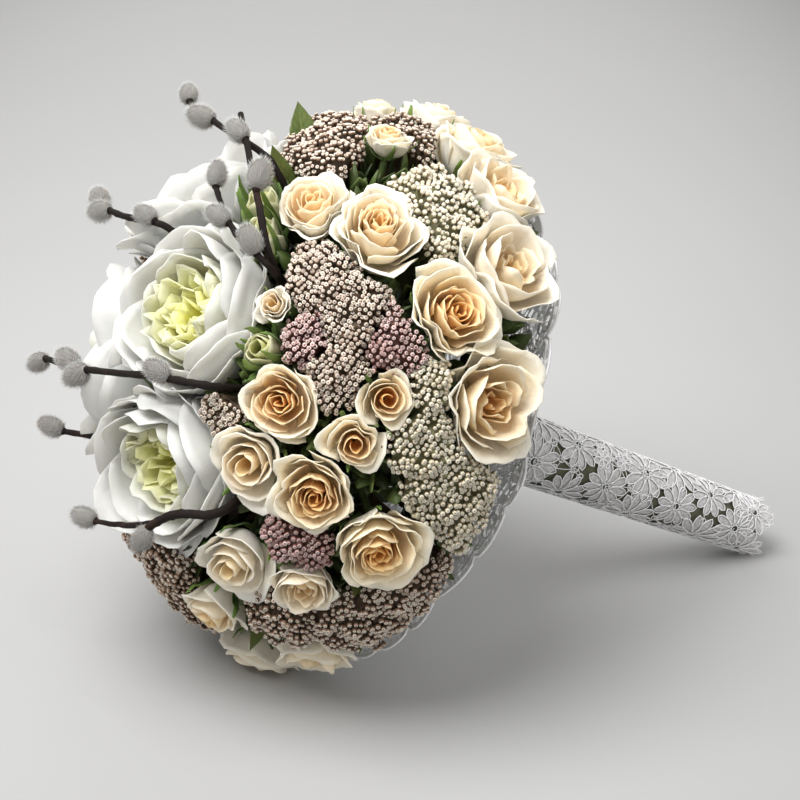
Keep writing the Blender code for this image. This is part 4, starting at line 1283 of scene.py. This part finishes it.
def small_leaf():
    """A narrow folded leaf of a few faces, one long."""
    leaf = grid_sheet("small_leaf", 2, 3)
    flat = get_places(leaf.data)
    u = flat[:, 0] * 2 - 1
    v = flat[:, 1]
    half = 0.5 * np.sin(np.pi * np.clip(v, 0.02, 0.98) ** 0.8)
    set_places(leaf.data, np.column_stack((u * half, np.abs(u) * half * 0.5 + 0.5 * v**2, v)))
    thicken(leaf, 0.06)
    return take_mesh(leaf)


def flower_stems(leaf, material_stem, material_leaf, random):
    """Each flower's own stem out of the crossing, and the leaves between the flowers."""
    routes = []
    for node in NODES:
        if not node.startswith(("rose", "peony", "bud", "rice")):
            continue
        for aim, far in feet(node):
            along = float(aim @ CROWN)
            out = unit(aim - CROWN * along)
            spread = 16.5 * MM * math.sqrt((1.0 - along) / 1.17)
            crossing = on_axis(39 * MM) + out * spread
            points = [crossing, MIDDLE + aim * 58 * MM, MIDDLE + aim * (far + 4 * MM)]
            routes.append(smooth_route(points, 4))
    radii = [np.full(len(route), random.uniform(0.85, 1.15)) for route in routes]
    stems = cords("flower_stalks", routes, 1.7 * MM, 8, radii=radii)
    mark(stems.data, "tone", 0.5)
    leaves = []
    for plan, width, proud in LEAVES:
        axis = way(*plan)
        tip = dome_reach(axis) + proud * MM
        first = side_axes(axis)[0]
        start = MIDDLE + axis * (tip - LEAF_LENGTH)
        piece = placed_copy("leaf", leaf, start, axis, first, LEAF_LENGTH, width * 1.1 * MM)
        set_places(piece.data, lift_off_table(get_places(piece.data)))
        mark(piece.data, "tone", random.uniform(0.3, 0.8))
        leaves.append(piece)
    greens = join(leaves + [undergrowth(small_leaf(), random)], "leaves_between")
    hand_over(greens, ["flower_stems"], material_leaf)
    hand_over(stems, ["flower_stems"], material_stem)


# Handle

SLEEVE_START = 56 * MM
HANDLE_END = 262 * MM
HANDLE_RADIUS = 19.0 * MM
HANDLE_END_RADIUS = 15.5 * MM
SLEEVE_WALL = 1.5 * MM
TAPE_TURNS = 15
TAPE_LENGTH = HANDLE_END - SLEEVE_START - 4 * MM
TAPE_LAP = 0.6 * MM
TAPE_WALL = 0.4 * MM
TWINE_TURNS = 6
TWINE_START = 57.9 * MM
TWINE_LENGTH = 7.2 * MM
TWINE_RADIUS = 0.68 * MM


def handle_radius(back):
    """Outer radius of the lace this far behind the middle."""
    share = np.clip((np.asarray(back) - SLEEVE_START) / (HANDLE_END - SLEEVE_START), 0.0, 1.0)
    return HANDLE_RADIUS + (HANDLE_END_RADIUS - HANDLE_RADIUS) * share


def tape_wrap(material):
    """Satin tape wound up the stems, each turn lying over the last."""
    tape = grid_sheet("tape_wrap", 44, 150)
    flat = get_places(tape.data)
    around = flat[:, 0] * 360
    back = (SLEEVE_START + 1 * MM) + flat[:, 1] * TAPE_LENGTH
    turn = (flat[:, 1] * TAPE_TURNS + flat[:, 0]) % 1.0
    reach = handle_radius(back) - SLEEVE_WALL - 0.25 * MM - TAPE_LAP * turn
    reach = reach + 0.16 * MM * np.sin(np.radians(around * 7) + flat[:, 1] * 40)
    set_places(tape.data, round_axis(around, back, reach))
    close_seam(tape)
    thicken(tape, TAPE_WALL)
    smooth(tape)
    hand_over(tape, ["stem_wrap"], material)


def twine_tie(material):
    """Twine bound round the stems where they cross."""
    share = np.linspace(0, 1, TWINE_TURNS * 40 + 1)
    radius = lengths(np.cross(corners("binding_tie") - TIE_CENTRE, CROWN)).max()
    back = TWINE_START + TWINE_LENGTH * share
    route = round_axis(share * 360 * TWINE_TURNS, back, np.full(len(share), radius - 0.7 * MM))
    tie = cords("twine_turns", [route], TWINE_RADIUS, 8)
    hand_over(tie, ["binding_tie"], material)


# Lace


def drop_outline(start, end, half, steps):
    """Outline of a petal of lace lying along +X, from one end round to the other."""
    share = np.linspace(0, 1, steps)
    x = start + (end - start) * share
    y = half * np.sin(np.pi * share**1.45) ** 0.6
    upper = np.column_stack((x, y))
    lower = np.column_stack((x[::-1], -y[::-1]))
    return np.vstack((upper, lower[1:-1]))


def turned(points, angle):
    """Flat points turned round their origin."""
    c, s = math.cos(angle), math.sin(angle)
    return points @ np.array(((c, s), (-s, c)))


def daisy_shape(name, petals, radius, thread):
    """A flat lace daisy: crowned petals with corded edges round a ring."""
    fills = []
    routes = []
    half = math.pi / petals * 0.6 * radius
    for i in range(petals):
        angle = 2 * math.pi * i / petals
        end = radius * (1.0 + 0.05 * math.sin(i * 2.4))
        outline = turned(drop_outline(0.17 * radius, end, half, 8), angle)
        routes.append(np.column_stack((outline, np.full(len(outline), 0.8 * thread))))
        inner = turned(drop_outline(0.2 * radius, end * 0.97, half * 0.86, 8), angle)
        centre = turned(np.array([[0.62 * end, 0.0]]), angle)[0]
        fill = bmesh.new()
        rim = [fill.verts.new((x, y, 0.1 * thread)) for x, y in inner]
        top = fill.verts.new((*centre, 0.5 * thread))
        low = fill.verts.new((*centre, -0.3 * thread))
        for a, b in zip(rim, rim[1:] + rim[:1]):
            fill.faces.new((a, b, top))
            fill.faces.new((b, a, low))
        bmesh.ops.recalc_face_normals(fill, faces=fill.faces)
        mesh = bpy.data.meshes.new("fill")
        fill.to_mesh(mesh)
        fill.free()
        petal = new_piece("fill", mesh)
        mark(mesh, "cord", 0.0)
        fills.append(petal)
    turn = np.linspace(0, 2 * math.pi, 12, endpoint=False)
    ring = np.column_stack((np.cos(turn), np.sin(turn))) * 0.155 * radius
    routes.append(np.column_stack((ring, np.full(12, 0.8 * thread))))
    edges = cords(name + "_edges", routes, 0.46 * thread, 4, closed=True)
    mark(edges.data, "cord", 1.0)
    return take_mesh(join(fills, name)), take_mesh(edges)


def ring_shape(radius, thread, sides=9):
    """A small corded ring."""
    turn = np.linspace(0, 2 * math.pi, sides, endpoint=False)
    ring = np.column_stack((np.cos(turn) * radius, np.sin(turn) * radius * 1.25, turn * 0))
    piece = cords("ring", [ring], 0.5 * thread, 4, closed=True)
    mark(piece.data, "cord", 1.0)
    return take_mesh(piece)


THREAD = 0.75 * MM
DAISY_ROW = 22.5 * MM
DAISIES_ROUND = 4
BAR_RADIUS = 0.24 * MM
LONGEST_BAR = 17 * MM
FRINGE_THREADS = 70
FRINGE_RADIUS = 0.16 * MM


def lay_on(shape, spot, spin, size, surface, name):
    """Lays a flat motif on a curved surface given as a function of two lengths."""
    mesh = shape.copy()
    flat = get_places(mesh)
    turned_flat = turned(flat[:, :2], spin) * size
    set_places(mesh, surface(spot[0] + turned_flat[:, 0], spot[1] + turned_flat[:, 1], flat[:, 2]))
    piece = new_piece(name, mesh)
    return piece


def on_sleeve(across, back, rise):
    """A place on the lace sleeve: arc length round it, back along it, height off it."""
    reach = handle_radius(back)
    mean = (HANDLE_RADIUS + HANDLE_END_RADIUS) / 2
    return round_axis(np.degrees(across / mean), back, reach - 0.7 * MM + rise)


def lace_sleeve(daisies, small, ring, material, random):
    """Openwork lace of daisies, rings and bars, stretched round the taped stems."""
    girth = math.pi * (HANDLE_RADIUS + HANDLE_END_RADIUS)
    fills = []
    pieces = []
    spots = []
    for row in range(int((HANDLE_END - SLEEVE_START) / DAISY_ROW) + 1):
        for column in range(DAISIES_ROUND):
            across = girth * (column + 0.5 * (row % 2)) / DAISIES_ROUND + random.uniform(-2.2, 2.2) * MM
            back = SLEEVE_START + 8 * MM + row * DAISY_ROW + random.uniform(-2.0, 2.0) * MM
            spots.append((across, min(back, HANDLE_END - 9 * MM)))
    for number, spot in enumerate(spots):
        fill, edges = daisies[number % len(daisies)]
        size = random.uniform(0.94, 1.12)
        spin = random.uniform(0, 6)
        fills.append(lay_on(fill, spot, spin, size, on_sleeve, "daisy"))
        pieces.append(lay_on(edges, spot, spin, size, on_sleeve, "daisy_edges"))
    taken = np.array(spots)
    for trial in range(1400):
        across = random.uniform(0, girth)
        spot = np.array((across, random.uniform(SLEEVE_START + 3 * MM, HANDLE_END - 3 * MM)))
        apart = taken - spot
        apart[:, 0] = (apart[:, 0] + girth / 2) % girth - girth / 2
        near = np.hypot(apart[:, 0], apart[:, 1])
        others = near[len(spots) :]
        tiny = trial < 700
        room = 15.5 * MM if tiny else 12.6 * MM
        if near[: len(spots)].min() < room or (others.size and others.min() < (8.5 if tiny else 4.2) * MM):
            continue
        taken = np.vstack((taken, spot))
        spin = random.uniform(0, 6)
        size = random.uniform(0.8, 1.2)
        if tiny:
            fills.append(lay_on(small[0], spot, spin, size, on_sleeve, "daisy"))
            pieces.append(lay_on(small[1], spot, spin, size, on_sleeve, "daisy_edges"))
        else:
            pieces.append(lay_on(ring, spot, spin, size, on_sleeve, "ring"))
    bars = []
    for start in taken:
        for end in taken:
            gap = end - start
            gap[0] = (gap[0] + girth / 2) % girth - girth / 2
            length = math.hypot(*gap)
            if length < 1 * MM or length > LONGEST_BAR or tuple(start) > tuple(start + gap):
                continue
            share = np.linspace(0, 1, 9)
            sway = np.sin(share * math.pi) * random.uniform(-1.4, 1.4) * MM
            side = np.array((-gap[1], gap[0])) / length
            line = start + share[:, None] * gap + sway[:, None] * side
            bars.append(on_sleeve(line[:, 0], line[:, 1], np.full(9, 0.15 * MM)))
    net = cords("bars", bars, BAR_RADIUS, 4)
    mark(net.data, "cord", 1.0)
    threads = []
    for _ in range(FRINGE_THREADS):
        across = random.uniform(0, girth)
        out = random.uniform(1.0, 4.5) * MM
        share = np.linspace(0, 1, 5)
        back = HANDLE_END - 3 * MM + share * (2 * MM + out)
        rise = 0.3 * MM + share**2 * random.uniform(-1.5, 2.4) * MM
        drift = across + share**2 * random.uniform(-3, 3) * MM
        threads.append(lift_off_table(on_sleeve(drift, back, rise)))
    fringe = cords("fringe", threads, FRINGE_RADIUS, 4)
    mark(fringe.data, "cord", 1.0)
    lace = join(fills, "lace_daisies")
    edging = join(pieces + [net, fringe], "lace_cords")
    for piece in (lace, edging):
        set_places(piece.data, lift_off_table(get_places(piece.data), 0.05 * MM))
        hand_over(piece, ["lace_sleeve"], material)
    return lace, edging, (girth, HANDLE_END - SLEEVE_START)


COLLAR_RADIUS = 128 * MM
RING_PITCH = 0.11
COLLAR_RIM_BACK = 33 * MM
COLLAR_NECK_BACK = 61 * MM
COLLAR_SCALLOPS = 28
COLLAR_SCALLOP = 5 * MM
COLLAR_WAVES = 7
COLLAR_WAVE = 2.5 * MM
NET_WALL = 0.25 * MM
RIM_RADIUS = 0.62 * MM
SWIRL_RADIUS = 0.5 * MM


def on_collar(around, share, rise):
    """A place on the collar: angle, share of the way from neck to rim, height off it."""
    neck = float(handle_radius(COLLAR_NECK_BACK)) + 0.3 * MM
    part = (around / 360 * COLLAR_SCALLOPS) % 1.0
    notch = COLLAR_SCALLOP * (1.0 - np.sqrt(np.clip(1.0 - (2 * part - 1) ** 2, 0, 1)))
    reach = neck + (COLLAR_RADIUS - notch * share**6 - neck) * share
    wave = np.sin(np.radians(around) * COLLAR_WAVES) * COLLAR_WAVE * share
    folds = np.sin(np.radians(around) * 43) * 1.1 * MM * np.sin(np.pi * np.clip(share * 1.2, 0, 1))
    curl = np.sin(np.radians(around) * 17 + 1.0) * 0.8 * MM * share**2
    depth = COLLAR_NECK_BACK + (COLLAR_RIM_BACK - COLLAR_NECK_BACK) * share**1.2 + wave
    return round_axis(around, depth + folds * 0.6 + curl - rise, reach)


def lace_collar(ring, net_material, thread_material, random):
    """A gathered ring of net with scalloped bands, swirling cords and eyelets."""
    net = grid_sheet("collar_net", COLLAR_SCALLOPS * 14, 26)
    flat = get_places(net.data)
    set_places(net.data, lift_off_table(on_collar(flat[:, 0] * 360, flat[:, 1], 0.0), 1.0 * MM))
    mark(net.data, "share", flat[:, 1])
    close_seam(net)
    thicken(net, NET_WALL)
    smooth(net)
    hand_over(net, ["lace_collar"], net_material)
    period = 360 / COLLAR_SCALLOPS
    turn = np.linspace(0, 360, COLLAR_SCALLOPS * 10, endpoint=False)
    routes = [on_collar(turn, np.full(len(turn), share), 0.3 * MM) for share in (0.995, 0.935)]
    rims = cords("rim_cords", routes, RIM_RADIUS, 6, closed=True)
    swirls = []
    for number in range(COLLAR_SCALLOPS):
        middle = (number + 0.5) * period
        for side in (-1, 1) if number % 2 == 0 else ():
            t = np.linspace(0, 1, 18)
            curl = 1 - 0.75 * t
            around = middle + side * period * (0.16 + 0.42 * curl * np.cos(t * 5.2))
            depth = 0.70 + 0.09 * curl * np.sin(t * 5.2) - 0.16 * (1 - t) ** 2
            swirls.append(on_collar(around, depth, 0.35 * MM))
        t = np.append(np.linspace(0, 1, 16, endpoint=False), 0.0) * 2 * math.pi
        swirls.append(on_collar(middle + 0.24 * period * np.sin(t), 0.88 + 0.055 * np.cos(t), 0.3 * MM))
        start = middle + random.uniform(-0.5, 0.5) * period
        depth = random.uniform(0.35, 0.6)
        t = np.linspace(0, 1, 12)
        line = start + period * 0.8 * (t - 0.5) * random.choice((-1, 1))
        swirls.append(on_collar(line, depth + 0.12 * np.sin(t * 5 + random.uniform(0, 6)), 0.3 * MM))
    threads = cords("swirls", swirls, SWIRL_RADIUS, 4)
    eyelets = []
    for _ in range(COLLAR_SCALLOPS * 5):
        around = random.uniform(0, 360)
        share = random.choice((0.62, 0.76, 0.93)) + random.uniform(-0.03, 0.03)

        def near(x, y, z, around=around, share=share):
            turned_on = np.degrees(x / (RING_PITCH * share))
            return on_collar(around + turned_on, share + y / RING_PITCH, z + 0.3 * MM)

        spin = random.uniform(0, 6)
        eyelets.append(lay_on(ring, (0.0, 0.0), spin, random.uniform(0.7, 1.1), near, "eyelet"))
    for piece in (rims, threads):
        mark(piece.data, "cord", 1.0)
    work = join([rims, threads] + eyelets, "collar_cords")
    set_places(work.data, lift_off_table(get_places(work.data)))
    hand_over(work, ["lace_collar"], thread_material)
    return net, work


# The whole bouquet

# The style of each bloom, and how deep its colour is
LOOKS = {
    "rose_01": ("garden", 0.35), "rose_02": ("garden", 0.42), "rose_03": ("garden", 0.8),
    "rose_04": ("cup", 0.12), "rose_05": ("cup", 0.55), "rose_06": ("bud", 1.0),
    "rose_07": ("garden", 0.72), "rose_08": ("bud", 0.12), "rose_09": ("garden", 0.9),
    "rose_10": ("bud", 0.85), "rose_11": ("garden", 0.95), "rose_12": ("bud", 0.0),
    "rose_13": ("cup", 0.35), "rose_14": ("bud", 0.5), "rose_15": ("garden", 0.45),
    "rose_16": ("cup", 0.5), "rose_17": ("garden", 0.5), "rose_18": ("cup", 0.4),
    "rose_19": ("bud", 0.15), "rose_20": ("bud", 0.6), "rose_21": ("bud", 0.7),
    "rose_22": ("bud", 0.0), "rose_23": ("garden", 0.6), "rose_24": ("garden", 0.3),
    "rose_25": ("cup", 0.5), "rose_26": ("garden", 0.75), "rose_27": ("garden", 0.4),
    "rose_28": ("cup", 0.35),
    "peony_1": ("peony", 0.15), "peony_2": ("peony", 0.2), "peony_3": ("peony", 0.3),
    "peony_4": ("peony", 0.25), "bud_1": ("green", 0.3), "bud_2": ("green", 0.3), "bud_3": ("green", 0.3),
}
FULL_ROSES = (2, 3, 4, 5, 11, 17, 18, 23, 24, 25, 26, 27)
ROSES_ON_TABLE = ("rose_15", "rose_28")
FINISHES = {
    "rose": petal_finish("rose_petals", ROSE_PALE, ROSE_DEEP, (0.62, 0.66, 0.34)),
    "peony": petal_finish("peony_petals", PEONY_PALE, PEONY_DEEP, (0.72, 0.76, 0.5), 0.5, 0.75),
    "bud": petal_finish("bud_petals", BUD_PALE, BUD_PALE, (0.45, 0.55, 0.2)),
}
for name, tip, body, foot in (
    ("rice_beige", (0.91, 0.83, 0.72), (0.27, 0.165, 0.105), (0.075, 0.050, 0.028)),
    ("rice_cream", (0.94, 0.90, 0.79), (0.64, 0.55, 0.37), (0.14, 0.13, 0.06)),
    ("rice_pink", (0.87, 0.70, 0.65), (0.25, 0.10, 0.09), (0.085, 0.036, 0.028)),
):
    FINISHES[name] = bead_finish(name, tip, body, foot)
sheets = {"broad": petal_sheet(10, 10), "inner": petal_sheet(7, 8)}
chance = np.random.default_rng(7)


def bloom(name, petals, thickness):
    return make_bloom(name, petals, sheets, chance, thickness)


shapes = {
    "garden": [
        bloom("garden_rose", garden_rose(chance, count, heart), 0.009)
        for count, heart in ((26, 0.29), (24, 0.33), (28, 0.25))
    ],
    "cup": [bloom("cup_rose", cup_rose(chance, count), 0.009) for count in (18, 21)],
    "bud": [bloom("bud_rose", bud_rose(chance, count), 0.011) for count in (12, 14)],
    "peony": [bloom("peony", peony(chance), 0.006) for _ in range(2)],
    "green": [bloom("green_bud", green_bud(), 0.02)],
}
for node, (style, tone) in LOOKS.items():
    family, number = node.split("_")
    kind = "full" if family == "rose" and int(number) in FULL_ROSES else family
    shape = shapes[style][int(number) % len(shapes[style])]
    clear = 0.0 if node in ROSES_ON_TABLE else TABLE_CLEAR
    spin = chance.uniform(0, 360)
    place_bloom(node + "_bloom", shape, node, kind, spin, tone, FINISHES[family], chance, clear)

ways_out = all_ways(chance)
bead = bead_shape()
stalk = stalk_shape()
for node in sorted(NODES):
    if node.startswith("rice"):
        rice_flower(node, ways_out, bead, stalk, FINISHES[SLOT_OF[node]], chance)

bark = bark_finish()
fur = fur_finish()
catkin = catkin_shape(chance)
scale = scale_shape()
for node in TWIGS:
    willow(node, catkin, scale, bark, fur, chance)

stem_green = stem_finish()
flower_stems(leaf_shape(), stem_green, leaf_finish(), chance)
NODES["stem_bundle"].data.materials.clear()
NODES["stem_bundle"].data.materials.append(stem_green)
tape_wrap(tape_finish())
twine_tie(twine_finish())

daisies = [
    daisy_shape(name, petals, radius * MM, THREAD)
    for name, petals, radius in (("daisy_wide", 12, 15.4), ("daisy_small", 11, 13.6))
]
ring = ring_shape(1.7 * MM, THREAD)
silver = thread_finish("lace_thread", (0.90, 0.89, 0.90), (0.42, 0.41, 0.41))
tiny_daisy = daisy_shape("daisy_tiny", 7, 5.6 * MM, THREAD)
lace, edging, lace_size = lace_sleeve(daisies, tiny_daisy, ring, silver, chance)
grey_thread = thread_finish("collar_thread", (0.90, 0.90, 0.92), (0.62, 0.61, 0.63))
net, work = lace_collar(ring, net_finish(), grey_thread, chance)


# Floor, light and camera


VIEW_TURN = math.radians(21)
VIEW_TILT = math.radians(23)
EYE_AWAY = 1.2
PHOTO_SIDE = 800
LENS_IN_PIXELS = 2442
MIDDLE_IN_PHOTO = (343.75, 387.5)
LAMPS = (
    ("key", (-0.6, -0.2, 1.35), 1.2, 27.0),
    ("fill", (1.4, -1.3, 1.0), 1.6, 5.5),
    ("back", (0.5, 1.5, 1.3), 1.2, 8.0),
)


def studio():
    """A pale floor, painted lighter in a pool behind the bouquet and darker away from it, and three soft
    lamps.
    """
    add = bpy.ops.mesh.primitive_grid_add
    floor = primitive(add, x_subdivisions=8, y_subdivisions=8, size=9.0, location=(0, 0, -0.0006))
    floor.name = "floor"
    finish = Finish("floor_grey", Specular_IOR_Level=0.2)
    cloud = finish.noise(3.0)
    centre = MIDDLE + 0.9 * np.array((math.sin(VIEW_TURN), math.cos(VIEW_TURN), 0.0))
    sockets = {
        "Vector": finish.place(), "Location": (*centre[:2], 0.0), "Rotation": (0.0, 0.0, -VIEW_TURN),
        "Scale": (0.5, 1.4, 1.0),
    }
    there = finish.node("ShaderNodeMapping", {"vector_type": "TEXTURE"}, sockets)
    out = finish.node("ShaderNodeVectorMath", {"operation": "LENGTH"}, {0: there}, "Value")
    # Painted light: the floor's colour darkens with distance from a bright pool behind the bouquet,
    # standing in for the lamps' falloff.
    painted_falloff = (out * out * out * 0.6 + (cloud - 0.5) * 0.06).held()
    finish.feed("Base Color", finish.mix(painted_falloff, (0.49, 0.49, 0.489), (0.22, 0.22, 0.219)))
    finish.feed("Roughness", 0.8 + cloud * 0.1)
    floor.data.materials.append(finish.material)
    world = bpy.data.worlds.new("studio")
    bpy.context.scene.world = world
    world.use_nodes = True
    sky = world.node_tree.nodes["Background"].inputs
    sky["Color"].default_value = (0.92, 0.91, 0.89, 1)
    sky["Strength"].default_value = 0.62
    for name, place, size, power in LAMPS:
        light = bpy.data.lights.new(name, "AREA")
        light.shape = "DISK"
        light.size = size
        light.energy = power
        lamp = new_piece(name, light)
        lamp.location = place
        lamp.rotation_euler = (Vector(MIDDLE) - Vector(place)).to_track_quat("-Z", "Y").to_euler()


def camera():
    """The photograph's angle: from the front left, a little above."""
    level = np.array((-math.sin(VIEW_TURN), -math.cos(VIEW_TURN), 0.0))
    back = level * math.cos(VIEW_TILT) + np.array((0.0, 0.0, math.sin(VIEW_TILT)))
    lens = bpy.data.cameras.new("camera")
    lens.sensor_width = 36.0
    lens.lens = LENS_IN_PIXELS / PHOTO_SIDE * lens.sensor_width
    lens.shift_x = 0.5 - MIDDLE_IN_PHOTO[0] / PHOTO_SIDE
    lens.shift_y = MIDDLE_IN_PHOTO[1] / PHOTO_SIDE - 0.5
    eye = new_piece("camera", lens)
    eye.location = MIDDLE + back * EYE_AWAY
    eye.rotation_euler = Vector(-back).to_track_quat("-Z", "Y").to_euler()
    bpy.context.scene.camera = eye


studio()
camera()
bpy.context.scene.view_settings.view_transform = "Standard"
